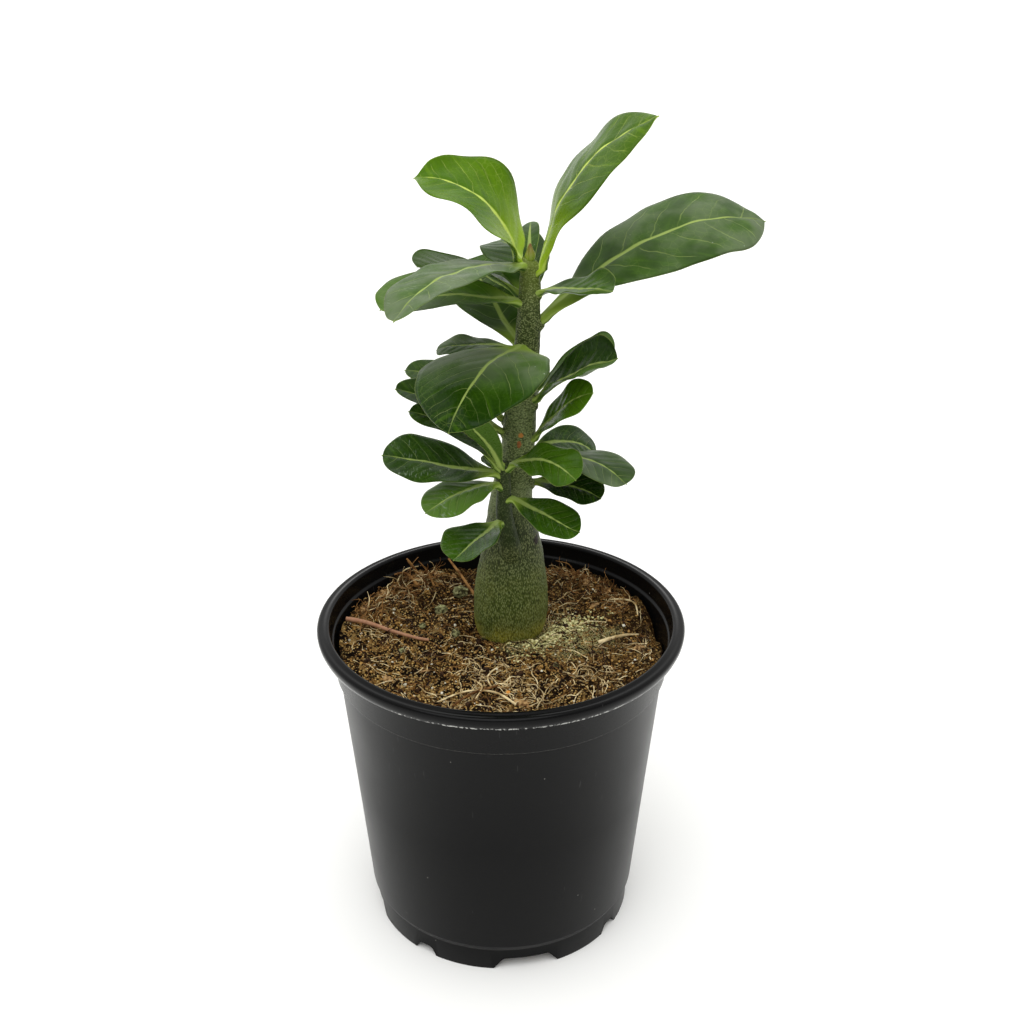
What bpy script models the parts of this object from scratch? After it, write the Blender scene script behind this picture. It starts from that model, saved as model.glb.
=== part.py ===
"""A potted desert rose: a young adenium in a round black nursery pot.

Metres, +Z up. The origin is the middle of the pot's underside, and -Y is the front.
Azimuths are degrees round +Z: 0 points to the front, 90 to +X, 180 to the back.
"""

import math

import bmesh
import bpy
from mathutils import Matrix, Vector, noise

MM = 0.001
GAP = 0.3 * MM  # between two pieces that touch

# Pot: a thin moulded wall that tapers to the foot, under a collar and a turned-out rim
POT_HEIGHT = 137 * MM
RIM_RADIUS = 75 * MM
RIM_MOUTH_RADIUS = 70 * MM
RIM_DEPTH = 6 * MM
RIM_ROUNDING = 0.8 * MM  # at the top of its outer side
RIM_TOP_FALL = 0.2 * MM
RIM_EDGE_HEIGHT = 136 * MM
RIM_UNDERCUT = 1.4 * MM  # from its widest edge in to its underside
COLLAR_TOP_RADIUS = 69.5 * MM
COLLAR_LOW_RADIUS = 68 * MM
COLLAR_LOW_HEIGHT = 116.5 * MM
COLLAR_STEP_INSIDE = 1 * MM
COLLAR_STEP_OUTSIDE = 0.7 * MM
BODY_TOP_RADIUS = 66.7 * MM
BODY_LOW_RADIUS = 57.2 * MM
BODY_LOW_HEIGHT = 13 * MM
FOOT_RADIUS = 55.4 * MM
FOOT_HEIGHT = 10 * MM
WALL = 1.5 * MM
FLOOR = 2 * MM
POT_SIDES = 48

# Drain notches: cut through the corner where the wall meets the floor, wide and narrow by turns
NOTCH_REACH = 9 * MM
NOTCH_BEYOND = 2 * MM  # how far a cutter stands outside the foot
NOTCH_BELOW = 1 * MM
WIDE_NOTCH = (29, 0.66, 5.5)  # width in mm, width of the top as a share of it, height in mm
NARROW_NOTCH = (12, 0.5, 4.0)
NOTCHES = [
    (11, WIDE_NOTCH),
    (56, NARROW_NOTCH),
    (101, WIDE_NOTCH),
    (146, NARROW_NOTCH),
    (191, WIDE_NOTCH),
    (236, NARROW_NOTCH),
    (281, WIDE_NOTCH),
    (325, NARROW_NOTCH),
]

# Potting mix
SOIL_HEIGHT = 126 * MM
SOIL_SIDES = 40
SOIL_RINGS = 6
SOIL_BUMP = 1.6 * MM
SOIL_BUMP_SIZE = 22 * MM
SOIL_RISE_AT_FRONT = 1.5 * MM
SOCKET_CLEARANCE = 0.8 * MM  # between the caudex and the mix round it
SOCKET_SIDES = 32

# Trunk with its swollen foot, the caudex: x, height and radius of each station
TRUNK_Y = 10 * MM
TRUNK_SIDES = 16
TRUNK = [
    (3.6, 118.5, 4.0),
    (3.6, 119.5, 8.5),
    (3.6, 122.0, 12.0),
    (3.6, 126.0, 14.2),
    (3.8, 132.0, 15.3),
    (4.0, 139.0, 15.5),
    (4.2, 148.0, 14.8),
    (4.4, 157.0, 13.4),
    (4.5, 166.0, 11.8),
    (4.3, 175.0, 10.2),
    (4.0, 185.0, 8.6),
    (5.2, 197.0, 7.3),
    (7.0, 209.0, 6.6),
    (7.6, 220.0, 6.4),
    (8.6, 232.0, 5.7),
    (10.0, 246.0, 5.1),
    (10.8, 259.0, 4.6),
    (11.2, 272.0, 4.1),
    (11.2, 280.0, 3.6),
    (11.2, 283.0, 2.6),
]

# Side shoot at the front of the caudex: x, y, height and radius of each station
SHOOT_SIDES = 12
SHOOT = [
    (4.5, 4.0, 160.0, 4.0),
    (4.3, -0.5, 170.0, 3.6),
    (1.9, -3.0, 182.0, 2.9),
    (1.6, -3.0, 197.0, 2.4),
    (2.0, -3.0, 207.0, 1.9),
]

# Growing tip on the trunk
BUD_HEIGHT = 7 * MM
BUD_RADIUS = 2.6 * MM
BUD_SIDES = 12
BUD_ROWS = 8

# Root twig lying on the potting mix: x and y of its bends
TWIG = [(-64, 8), (-52, 5), (-41, 1), (-30, -3)]
TWIG_RADIUS = 0.7 * MM
TWIG_CLEARANCE = 1.2 * MM
TWIG_SIDES = 8

# Leaves
LEAF_THICKNESS = 0.8 * MM
LEAF_ROWS = 9
LEAF_COLUMNS = 4
LEAF_STEPS = 66  # of the sum that draws the midrib
PETIOLE_HALF_WIDTH = 1.0 * MM
POINT_HALF_WIDTH = 0.4 * MM
POINT_SHARE = 0.035  # of the leaf's length, at its tip
POINT_ROW = 0.99  # rows beyond it are the tip itself

POT_BLACK = (0.020, 0.020, 0.021)
SOIL_BROWN = (0.085, 0.048, 0.022)
BARK_GREEN = (0.120, 0.125, 0.070)
BUD_GREEN = (0.260, 0.330, 0.040)
TWIG_RED = (0.260, 0.110, 0.060)
YOUNG_GREEN = (0.110, 0.240, 0.015)
MATURE_GREEN = (0.040, 0.095, 0.022)


# --------------------------------------------------------------------------- helpers

def new_collection(name):
    collection = bpy.data.collections.new(name)
    bpy.context.scene.collection.children.link(collection)
    return collection


def material(name, colour, roughness):
    made = bpy.data.materials.new(name)
    made.use_nodes = True
    shader = made.node_tree.nodes["Principled BSDF"]
    shader.inputs["Base Color"].default_value = (*colour, 1)
    shader.inputs["Roughness"].default_value = roughness
    shader.inputs["Metallic"].default_value = 0
    return made


def add_object(name, mesh, collection, finish=None):
    added = bpy.data.objects.new(name, mesh)
    collection.objects.link(added)
    if finish:
        mesh.materials.append(finish)
        mesh.shade_smooth()
    return added


def evaluated_mesh(source):
    """The mesh of an object as its modifiers or its bevel make it, with its seams welded."""
    bpy.context.view_layer.update()
    graph = bpy.context.evaluated_depsgraph_get()
    mesh = bpy.data.meshes.new_from_object(source.evaluated_get(graph))
    work = bmesh.new()
    work.from_mesh(mesh)
    bmesh.ops.remove_doubles(work, verts=work.verts, dist=0.01 * MM)
    bmesh.ops.recalc_face_normals(work, faces=work.faces)
    work.to_mesh(mesh)
    work.free()
    return mesh


def hide_cutter(cutter):
    cutter.hide_render = True
    cutter.display_type = "WIRE"


def turned(name, profile, sides, collection, finish=None):
    """A solid of revolution from (radius, height) points that run down its outer side."""
    mesh = bpy.data.meshes.new(name)
    points = [(radius, 0, height) for radius, height in profile]
    edges = [(i, i + 1) for i in range(len(points) - 1)]
    mesh.from_pydata(points, edges, [])
    made = add_object(name, mesh, collection, finish)
    screw = made.modifiers.new("Turn", "SCREW")
    screw.axis = "Z"
    screw.steps = sides
    screw.render_steps = sides
    screw.use_merge_vertices = True
    screw.merge_threshold = 0.01 * MM
    return made


def tube(name, stations, sides, collection, finish=None):
    """A closed mesh tube through (point, radius) stations."""
    curve = bpy.data.curves.new(name, "CURVE")
    curve.dimensions = "3D"
    curve.bevel_depth = 1
    curve.bevel_resolution = sides // 2 - 2
    curve.use_fill_caps = True
    spline = curve.splines.new("POLY")
    spline.points.add(len(stations) - 1)
    for point, (place, radius) in zip(spline.points, stations):
        point.co = (*place, 1)
        point.radius = radius
    guide = bpy.data.objects.new(name + "_guide", curve)
    collection.objects.link(guide)
    mesh = evaluated_mesh(guide)
    bpy.data.objects.remove(guide)
    return add_object(name, mesh, collection, finish)


def boolean(target, cutter, operation):
    modifier = target.modifiers.new(cutter.name, "BOOLEAN")
    modifier.operation = operation
    modifier.solver = "EXACT"
    modifier.object = cutter


def heading(azimuth):
    """The level direction of an azimuth in degrees."""
    angle = math.radians(azimuth)
    return Vector((math.sin(angle), -math.cos(angle), 0))


# --------------------------------------------------------------------------- pot

def pot_wall_radius(height):
    """Inner radius of the pot's body wall at a height below the collar."""
    share = (height - BODY_LOW_HEIGHT) / (COLLAR_LOW_HEIGHT - BODY_LOW_HEIGHT)
    return BODY_LOW_RADIUS - WALL + share * (BODY_TOP_RADIUS - BODY_LOW_RADIUS)


def make_pot(collection, cutters):
    rim_low = POT_HEIGHT - RIM_DEPTH
    profile = [
        (0, FLOOR),
        (FOOT_RADIUS - WALL, FLOOR),
        (FOOT_RADIUS - WALL, FOOT_HEIGHT),
        (BODY_LOW_RADIUS - WALL, BODY_LOW_HEIGHT),
        (BODY_TOP_RADIUS - WALL, COLLAR_LOW_HEIGHT),
        (COLLAR_LOW_RADIUS - WALL, COLLAR_LOW_HEIGHT + COLLAR_STEP_INSIDE),
        (COLLAR_TOP_RADIUS - WALL, rim_low),
        (RIM_MOUTH_RADIUS, POT_HEIGHT),
        (RIM_RADIUS - RIM_ROUNDING, POT_HEIGHT - RIM_TOP_FALL),
        (RIM_RADIUS, RIM_EDGE_HEIGHT),
        (RIM_RADIUS - RIM_UNDERCUT, rim_low),
        (COLLAR_TOP_RADIUS, rim_low),
        (COLLAR_LOW_RADIUS, COLLAR_LOW_HEIGHT),
        (BODY_TOP_RADIUS, COLLAR_LOW_HEIGHT - COLLAR_STEP_OUTSIDE),
        (BODY_LOW_RADIUS, BODY_LOW_HEIGHT),
        (FOOT_RADIUS, FOOT_HEIGHT),
        (FOOT_RADIUS, 0),
        (0, 0),
    ]
    pot = turned("pot", profile, POT_SIDES, collection, material("pot_plastic", POT_BLACK, 0.55))
    for azimuth, shape in NOTCHES:
        notch = make_notch(f"drain_notch_{azimuth}", azimuth, shape, cutters)
        boolean(pot, notch, "DIFFERENCE")
    return pot


def make_notch(name, azimuth, shape, collection):
    """A wedge that opens the corner of the pot, narrower at its top."""
    width, top_share, height = shape
    work = bmesh.new()
    bmesh.ops.create_cube(work, size=1)
    for vertex in work.verts:
        at_top = vertex.co.z > 0
        vertex.co.x *= width * MM * (top_share if at_top else 1)
        vertex.co.y *= NOTCH_REACH + NOTCH_BEYOND
        vertex.co.z = height * MM if at_top else -NOTCH_BELOW
    mesh = bpy.data.meshes.new(name)
    work.to_mesh(mesh)
    work.free()
    notch = add_object(name, mesh, collection)
    notch.location = heading(azimuth) * (FOOT_RADIUS + (NOTCH_BEYOND - NOTCH_REACH) / 2)
    notch.rotation_euler = (0, 0, math.radians(azimuth))
    hide_cutter(notch)
    return notch


# --------------------------------------------------------------------------- potting mix

def soil_level(x, y):
    """Height of the potting mix: heaped a little at the front, and uneven."""
    lift = -SOIL_RISE_AT_FRONT * y / BODY_TOP_RADIUS
    bump = noise.noise(Vector((x, y, 0)) / SOIL_BUMP_SIZE)
    return SOIL_HEIGHT + lift + SOIL_BUMP * bump


def make_soil(collection, cutters):
    top_radius = COLLAR_LOW_RADIUS - WALL - GAP
    rings = [(top_radius * i / SOIL_RINGS, SOIL_HEIGHT) for i in range(SOIL_RINGS + 1)]
    profile = rings + [
        (top_radius, COLLAR_LOW_HEIGHT + COLLAR_STEP_INSIDE),
        (BODY_TOP_RADIUS - WALL - GAP, COLLAR_LOW_HEIGHT),
        (pot_wall_radius(BODY_LOW_HEIGHT) - GAP, BODY_LOW_HEIGHT),
        (FOOT_RADIUS - WALL - GAP, FOOT_HEIGHT),
        (FOOT_RADIUS - WALL - GAP, FLOOR + GAP),
        (0, FLOOR + GAP),
    ]
    blank = turned("soil_blank", profile, SOIL_SIDES, cutters)
    mesh = evaluated_mesh(blank)
    bpy.data.objects.remove(blank)
    for vertex in mesh.vertices:
        if vertex.co.z > SOIL_HEIGHT - 0.1 * MM:
            vertex.co.z = soil_level(vertex.co.x, vertex.co.y)
    soil = add_object("soil", mesh, collection, material("potting_mix", SOIL_BROWN, 0.95))
    boolean(soil, make_socket(cutters), "DIFFERENCE")
    return soil


def make_socket(collection):
    """The hollow in the potting mix that the caudex sits in."""
    buried = [(radius * MM + SOCKET_CLEARANCE, height * MM) for _, height, radius in TRUNK[:6]]
    profile = [(0, buried[-1][1])] + buried[::-1] + [(0, TRUNK[0][1] * MM - GAP)]
    socket = turned("caudex_socket", profile, SOCKET_SIDES, collection)
    socket.location = (TRUNK[3][0] * MM, TRUNK_Y, 0)
    hide_cutter(socket)
    return socket


# --------------------------------------------------------------------------- stem

def trunk_station(height):
    """Centre and radius of the trunk at a height."""
    return between([(h, x, TRUNK_Y / MM, r) for x, h, r in TRUNK], height)


def shoot_station(height):
    """Centre and radius of the side shoot at a height."""
    return between([(h, x, y, r) for x, y, h, r in SHOOT], height)


def between(stations, height):
    """Centre and radius at a height, in metres, on the line between two stations."""
    for low, high in zip(stations, stations[1:]):
        if height <= high[0]:
            break
    share = (height - low[0]) / (high[0] - low[0])
    x, y, radius = (a + share * (b - a) for a, b in zip(low[1:], high[1:]))
    return Vector((x, y, height)) * MM, radius * MM


def make_stem(collection, cutters):
    bark = material("bark", BARK_GREEN, 0.7)
    trunk = [(Vector((x * MM, TRUNK_Y, h * MM)), r * MM) for x, h, r in TRUNK]
    shoot = [(Vector((x, y, h)) * MM, r * MM) for x, y, h, r in SHOOT]
    stem = tube("caudex_stem", trunk, TRUNK_SIDES, collection, bark)
    side_shoot = tube("side_shoot", shoot, SHOOT_SIDES, cutters)
    hide_cutter(side_shoot)
    boolean(stem, side_shoot, "UNION")
    return stem


def make_bud(collection):
    top_x, top_height, _ = TRUNK[-1]
    work = bmesh.new()
    bmesh.ops.create_uvsphere(work, u_segments=BUD_SIDES, v_segments=BUD_ROWS, radius=1)
    bmesh.ops.scale(work, verts=work.verts, vec=(BUD_RADIUS, BUD_RADIUS, BUD_HEIGHT / 2))
    mesh = bpy.data.meshes.new("apical_bud")
    work.to_mesh(mesh)
    work.free()
    bud = add_object("apical_bud", mesh, collection, material("bud", BUD_GREEN, 0.5))
    bud.location = (top_x * MM, TRUNK_Y, top_height * MM + GAP + BUD_HEIGHT / 2)
    return bud


def make_twig(collection):
    stations = []
    for x, y in TWIG:
        height = soil_level(x * MM, y * MM) + TWIG_CLEARANCE
        stations.append((Vector((x * MM, y * MM, height)), TWIG_RADIUS))
    return tube("root_twig", stations, TWIG_SIDES, collection, material("root_bark", TWIG_RED, 0.8))


# --------------------------------------------------------------------------- leaves

def outline(share, widest, blunt):
    """Half-width of the blade, from 0 to 1, at a share of its length."""
    run = min(max(share / (1 - POINT_SHARE), 0), 1)
    taper = blunt * widest / (1 - widest)
    return (run / widest) ** taper * ((1 - run) / (1 - widest)) ** blunt


def leaf_frames(base, azimuth, rise, length, droop, swing, hook):
    """Points along the midrib, each with its tangent and its level side direction."""
    frames = []
    place = base.copy()
    for step in range(LEAF_STEPS + 1):
        share = step / LEAF_STEPS
        level = heading(azimuth + swing * share)
        pitch = math.radians(rise - droop * share - hook * share ** 4)
        tangent = level * math.cos(pitch) + Vector((0, 0, math.sin(pitch)))
        side = level.cross(Vector((0, 0, 1)))
        frames.append((place.copy(), tangent, side))
        place += tangent * (length / LEAF_STEPS)
    return frames


def make_leaf(name, collection, finish, station, azimuth, rise, length, width,
              droop=0, swing=0, hook=0, roll=0, twist=0, cup=15, widest=0.65, blunt=0.5):
    """A leathery blade on a short stalk. Lengths are in mm and angles in degrees.

    rise is the stalk's slope, droop and hook bend the blade down, swing turns it sideways,
    roll and twist tip it round its midrib, and cup lifts its margins.
    """
    centre, stem_radius = station
    stand_off = stem_radius + GAP + PETIOLE_HALF_WIDTH * abs(math.sin(math.radians(rise)))
    base = centre + heading(azimuth) * stand_off
    frames = leaf_frames(base, azimuth, rise, length * MM, droop, swing, hook)
    arch = math.radians(cup) or 0.001
    work = bmesh.new()
    bmesh.ops.create_grid(work, x_segments=LEAF_COLUMNS, y_segments=LEAF_ROWS, size=1)
    for vertex in work.verts:
        row = (vertex.co.y + 1) / 2
        share = math.sin(row * math.pi / 2)  # rows crowd towards the round tip
        place, tangent, level_side = frames[round(share * LEAF_STEPS)]
        turn = Matrix.Rotation(-math.radians(roll + twist * share), 3, tangent)
        side = turn @ level_side
        up = side.cross(tangent)
        least = POINT_HALF_WIDTH if row > POINT_ROW else PETIOLE_HALF_WIDTH * (1 - share) + POINT_HALF_WIDTH
        half = max(width * MM / 2 * outline(share, widest, blunt), least)
        across = half * math.sin(arch * vertex.co.x) / arch
        lift = half * (1 - math.cos(arch * vertex.co.x)) / arch
        vertex.co = place + side * across + up * lift
    bmesh.ops.recalc_face_normals(work, faces=work.faces)
    mesh = bpy.data.meshes.new(name)
    work.to_mesh(mesh)
    work.free()
    leaf = add_object(name, mesh, collection, finish)
    wall = leaf.modifiers.new("Thickness", "SOLIDIFY")
    wall.thickness = LEAF_THICKNESS
    wall.offset = 0
    return leaf


def make_leaves(collection):
    young = material("leaf_young", YOUNG_GREEN, 0.4)
    mature = material("leaf_mature", MATURE_GREEN, 0.3)

    def grow(name, station, height, finish=mature, **shape):
        make_leaf("leaf_" + name, collection, finish, station(height), **shape)

    # Crown of the trunk
    grow("top_left", trunk_station, 282, young, azimuth=-87, rise=84, length=56, width=38,
         droop=90, swing=-20, hook=15, roll=10, twist=5, cup=20)
    grow("top_right", trunk_station, 280, young, azimuth=77, rise=83, length=74, width=38,
         droop=60, swing=-5, roll=-20, twist=-5, cup=-10, widest=0.7, blunt=0.55)
    grow("top_front_left", trunk_station, 281, azimuth=-44, rise=17, length=79, width=31,
         droop=30, swing=20, hook=15, roll=5, twist=-20, cup=0, widest=0.6, blunt=0.55)
    grow("top_back", trunk_station, 276, azimuth=181, rise=44, length=32, width=8,
         droop=40, swing=-5, roll=10, twist=5)
    grow("long_right", trunk_station, 259, azimuth=96, rise=43, length=102, width=42,
         droop=35, swing=20, hook=35, roll=-15, twist=-10, cup=-15, widest=0.7, blunt=0.45)
    grow("curled_right", trunk_station, 271, azimuth=49, rise=26, length=35, width=18,
         droop=30, hook=-5, roll=-10, twist=-5)
    grow("upper_left", trunk_station, 267, azimuth=-69, rise=21, length=58, width=34,
         droop=35, swing=10, roll=10, twist=-5, cup=20)
    grow("upper_left_back", trunk_station, 269, azimuth=-122, rise=31, length=49, width=26,
         droop=50, swing=10, roll=-25, twist=-5)
    grow("upper_back", trunk_station, 266, azimuth=-176, rise=35, length=57, width=28,
         droop=55, swing=25, hook=5, roll=15, twist=5)

    # Middle of the trunk
    grow("back_left", trunk_station, 248, azimuth=-149, rise=33, length=55, width=36,
         droop=20, swing=-15, roll=5, twist=10)
    grow("broad_front", trunk_station, 250, azimuth=-28, rise=16, length=60, width=51,
         droop=60, hook=10, roll=-5, cup=-5, widest=0.6, blunt=0.6)
    grow("middle_left", trunk_station, 248, azimuth=-94, rise=15, length=32, width=15,
         droop=35, swing=-5, hook=5, twist=10, cup=5)
    grow("middle_right", trunk_station, 232, azimuth=112, rise=28, length=37, width=31,
         droop=25, hook=5, roll=35, twist=25, cup=20)
    grow("folded_right", trunk_station, 227, azimuth=58, rise=54, length=41, width=22,
         droop=35, swing=5, roll=-10, twist=-20, cup=40)
    grow("narrow_left", trunk_station, 219, azimuth=-102, rise=54, length=45, width=18,
         droop=55, swing=5, hook=5, roll=10, twist=5)
    grow("narrow_left_low", trunk_station, 215, azimuth=-75, rise=38, length=48, width=21,
         droop=25, roll=15, twist=5)
    grow("small_right", trunk_station, 213, azimuth=55, rise=60, length=37, width=16,
         droop=30, swing=5, hook=5, roll=-15, twist=-10, cup=10)

    # Low on the trunk, to the right
    grow("low_right_back", trunk_station, 204, azimuth=122, rise=27, length=34, width=14,
         droop=75, swing=-10, roll=-15, twist=-15, widest=0.7)
    grow("low_right_long", trunk_station, 201, azimuth=85, rise=28, length=44, width=26,
         droop=65, swing=-35, roll=15, twist=-15, cup=0, blunt=0.45)
    grow("low_right", trunk_station, 193, azimuth=80, rise=7, length=32, width=22,
         droop=30, swing=-20)

    # Side shoot
    grow("shoot_high_left", shoot_station, 205, azimuth=-88, rise=61, length=43, width=25,
         droop=60, swing=-5, roll=10, twist=5)
    grow("shoot_inner_left", shoot_station, 207, azimuth=-32, rise=60, length=44, width=11,
         droop=30, hook=-10, roll=-10, twist=-5, cup=10)
    grow("shoot_right", shoot_station, 206, azimuth=63, rise=39, length=30, width=20,
         droop=80, swing=-5, roll=-15, twist=-5, cup=10, blunt=0.45)
    grow("shoot_tiny", shoot_station, 203, azimuth=-120, rise=35, length=10, width=9,
         droop=5, roll=-5)
    grow("shoot_left", shoot_station, 202, azimuth=-85, rise=14, length=47, width=28,
         swing=-5, hook=10, roll=10, twist=10, cup=10)
    grow("shoot_low_left", shoot_station, 198, azimuth=-56, rise=13, length=36, width=23,
         droop=50, swing=-5, twist=5, cup=-5)
    grow("shoot_low_right", shoot_station, 192, azimuth=62, rise=-14, length=32, width=21,
         droop=15, swing=10, hook=-10, roll=-10, twist=-5, cup=10, blunt=0.55)
    grow("caudex_left", shoot_station, 182, azimuth=-40, rise=3, length=27, width=23,
         droop=35, swing=-5, roll=-5, cup=20)


# --------------------------------------------------------------------------- whole plant

def main():
    for old in list(bpy.data.objects):
        bpy.data.objects.remove(old)
    plant = new_collection("potted_desert_rose")
    cutters = new_collection("cutters")
    cutters.hide_render = True
    make_pot(plant, cutters)
    make_soil(plant, cutters)
    make_stem(plant, cutters)
    make_bud(plant)
    make_twig(plant)
    make_leaves(plant)


main()
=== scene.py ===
"""The look of a potted desert rose: a young adenium with 28 leaves in a black nursery pot.

Metres, +Z up. The origin is the middle of the pot's underside, and -Y is the front.
Azimuths are degrees round +Z: 0 points to the front, 90 to +X, 180 to the back.
"""
import math
import random

import bpy
from mathutils import Matrix, Vector, noise


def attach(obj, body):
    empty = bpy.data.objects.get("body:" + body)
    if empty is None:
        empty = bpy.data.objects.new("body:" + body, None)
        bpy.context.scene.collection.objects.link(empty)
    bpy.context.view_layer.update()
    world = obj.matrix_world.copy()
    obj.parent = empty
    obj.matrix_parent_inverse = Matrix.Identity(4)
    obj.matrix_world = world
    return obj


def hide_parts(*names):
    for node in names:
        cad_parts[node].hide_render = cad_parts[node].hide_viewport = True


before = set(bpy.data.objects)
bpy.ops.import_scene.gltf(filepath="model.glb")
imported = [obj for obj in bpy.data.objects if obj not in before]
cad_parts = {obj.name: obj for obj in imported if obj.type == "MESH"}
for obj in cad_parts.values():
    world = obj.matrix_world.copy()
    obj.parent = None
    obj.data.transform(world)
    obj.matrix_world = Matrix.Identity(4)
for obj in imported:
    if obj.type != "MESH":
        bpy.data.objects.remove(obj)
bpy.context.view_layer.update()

MM = 0.001


# --------------------------------------------------------------------------- camera
# Looks down a little on the plant from the front, at about arm's length.

CAMERA_DISTANCE = 0.553
CAMERA_ELEVATION = math.radians(25.5)
CAMERA_AIM = Vector((0.0045, 0, 0.184))
SENSOR_WIDTH = 36
FOCAL_LENGTH = 49.22
from_aim = Vector((0, -math.cos(CAMERA_ELEVATION), math.sin(CAMERA_ELEVATION)))
camera_place = CAMERA_AIM + CAMERA_DISTANCE * from_aim
bpy.ops.object.camera_add(location=camera_place, rotation=(math.pi / 2 - CAMERA_ELEVATION, 0, 0))
camera = bpy.context.object
camera.name = "camera"
camera.data.sensor_width = SENSOR_WIDTH
camera.data.lens = FOCAL_LENGTH
bpy.context.scene.camera = camera


# --------------------------------------------------------------------------- studio
# A white sweep in a white room that is darker on the camera's side, under a weak soft light.

bpy.context.scene.view_settings.view_transform = "Standard"
ROOM_BEHIND = 1.24
ROOM_IN_FRONT = 0.48
room = bpy.data.worlds.new("white_room")
room.use_nodes = True
backdrop = room.node_tree.nodes["Background"]
backdrop.inputs["Color"].default_value = (1, 1, 0.985, 1)
bpy.context.scene.world = room
direction = room.node_tree.nodes.new("ShaderNodeTexCoord")
towards_back = room.node_tree.nodes.new("ShaderNodeSeparateXYZ")
glow = room.node_tree.nodes.new("ShaderNodeMapRange")
glow.interpolation_type = "SMOOTHSTEP"
glow_range = {"From Min": -0.75, "From Max": 0.55, "To Min": ROOM_IN_FRONT, "To Max": ROOM_BEHIND}
for socket, value in glow_range.items():
    glow.inputs[socket].default_value = value
room.node_tree.links.new(direction.outputs["Generated"], towards_back.inputs[0])
room.node_tree.links.new(towards_back.outputs["Y"], glow.inputs["Value"])
room.node_tree.links.new(glow.outputs[0], backdrop.inputs["Strength"])

light_turn = (math.radians(27), math.radians(-7), 0)
bpy.ops.object.light_add(type="SUN", location=(0, -0.3, 1.2), rotation=light_turn)
overhead = bpy.context.object
overhead.name = "overhead_softbox"
overhead.data.energy = 1.9
overhead.data.angle = math.radians(60)

bpy.ops.mesh.primitive_plane_add(size=80)
sweep = bpy.context.object
sweep.name = "white_floor"
paper = bpy.data.materials.new("white_paper")
paper.use_nodes = True
paper_sockets = paper.node_tree.nodes["Principled BSDF"].inputs
paper_sockets["Base Color"].default_value = (0.93, 0.93, 0.915, 1)
paper_sockets["Roughness"].default_value = 1
paper_sockets["Specular IOR Level"].default_value = 0
sweep.data.materials.append(paper)


# --------------------------------------------------------------------------- pot
# A thin black polypropylene nursery pot, injection moulded in one piece. A collar and a
# turned-out rim stiffen its mouth, and eight drain notches open the corner of its floor.

POT_SIDES = 144
POT_RINGS = [  # radius and height in mm, from the underside up the outside, then down the inside
    (48.0, 0.0), (55.4, 0.0), (55.4, 10.0), (57.2, 13.0), (61.9, 65.0),
    (66.7, 115.8), (68.0, 116.5), (69.5, 131.0), (73.6, 131.0), (74.7, 133.4),
    (75.0, 135.2), (74.6, 136.1), (73.9, 136.5), (72.6, 136.3), (71.9, 136.6),
    (71.2, 137.0), (70.5, 137.0), (69.9, 136.5), (69.7, 135.4), (69.2, 130.6),
    (68.2, 130.0), (66.6, 117.6), (65.2, 116.5), (60.4, 65.0), (55.7, 13.0),
    (53.9, 10.0), (53.9, 2.0), (46.0, 2.0),
]
NOTCH_REACH = 9
WIDE_NOTCH = (29, 0.66, 5.5)  # width in mm, width of the top as a share of it, height in mm
NARROW_NOTCH = (12, 0.5, 4.0)
NOTCHES = [(11, WIDE_NOTCH), (56, NARROW_NOTCH), (101, WIDE_NOTCH), (146, NARROW_NOTCH), (191, WIDE_NOTCH),
           (236, NARROW_NOTCH), (281, WIDE_NOTCH), (325, NARROW_NOTCH)]


def heading(azimuth):
    """The level direction of an azimuth in degrees."""
    angle = math.radians(azimuth)
    return Vector((math.sin(angle), -math.cos(angle), 0))


def hold(piece):
    """Makes this piece the only one that the next operators act on."""
    bpy.ops.object.select_all(action="DESELECT")
    piece.select_set(True)
    bpy.context.view_layer.objects.active = piece


def face_outwards(piece, weld=0.0):
    """Turns every face outwards, after merging the points that are nearer than weld in metres."""
    hold(piece)
    bpy.ops.object.mode_set(mode="EDIT")
    bpy.ops.mesh.select_all(action="SELECT")
    if weld:
        bpy.ops.mesh.remove_doubles(threshold=weld)
    bpy.ops.mesh.normals_make_consistent(inside=False)
    bpy.ops.object.mode_set(mode="OBJECT")


def join_pieces(pieces):
    """Joins the pieces in the first one."""
    hold(pieces[0])
    for piece in pieces[1:]:
        piece.select_set(True)
    bpy.ops.object.join()
    return pieces[0]


def grow_rings(name, rings, sides):
    """A closed solid grown from a circle, ring by ring. Each ring is (centre, radius) in metres."""
    centre, radius = rings[0]
    bpy.ops.mesh.primitive_circle_add(vertices=sides, radius=radius, location=centre)
    piece = bpy.context.object
    piece.name = name
    bpy.ops.object.transform_apply(location=True, rotation=True, scale=True)
    bpy.ops.object.mode_set(mode="EDIT")
    bpy.ops.mesh.select_mode(type="EDGE")
    bpy.ops.mesh.select_all(action="SELECT")
    for next_centre, next_radius in rings[1:]:
        bpy.ops.mesh.extrude_region_move(TRANSFORM_OT_translate={"value": next_centre - centre})
        change = next_radius / radius
        bpy.ops.transform.resize(value=(change, change, 1), center_override=next_centre)
        centre, radius = next_centre, next_radius
    bpy.ops.mesh.edge_face_add()
    bpy.ops.mesh.select_all(action="DESELECT")
    bpy.ops.mesh.select_non_manifold()
    bpy.ops.mesh.edge_face_add()
    bpy.ops.object.mode_set(mode="OBJECT")
    face_outwards(piece)
    return piece


def apply_modifier(piece, kind, **settings):
    hold(piece)
    modifier = piece.modifiers.new(kind.lower(), kind)
    for name, value in settings.items():
        setattr(modifier, name, value)
    bpy.ops.object.modifier_apply(modifier=modifier.name)


def smooth_shading(piece, sharp_degrees=180):
    hold(piece)
    bpy.ops.object.shade_smooth_by_angle(angle=math.radians(sharp_degrees))


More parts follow.
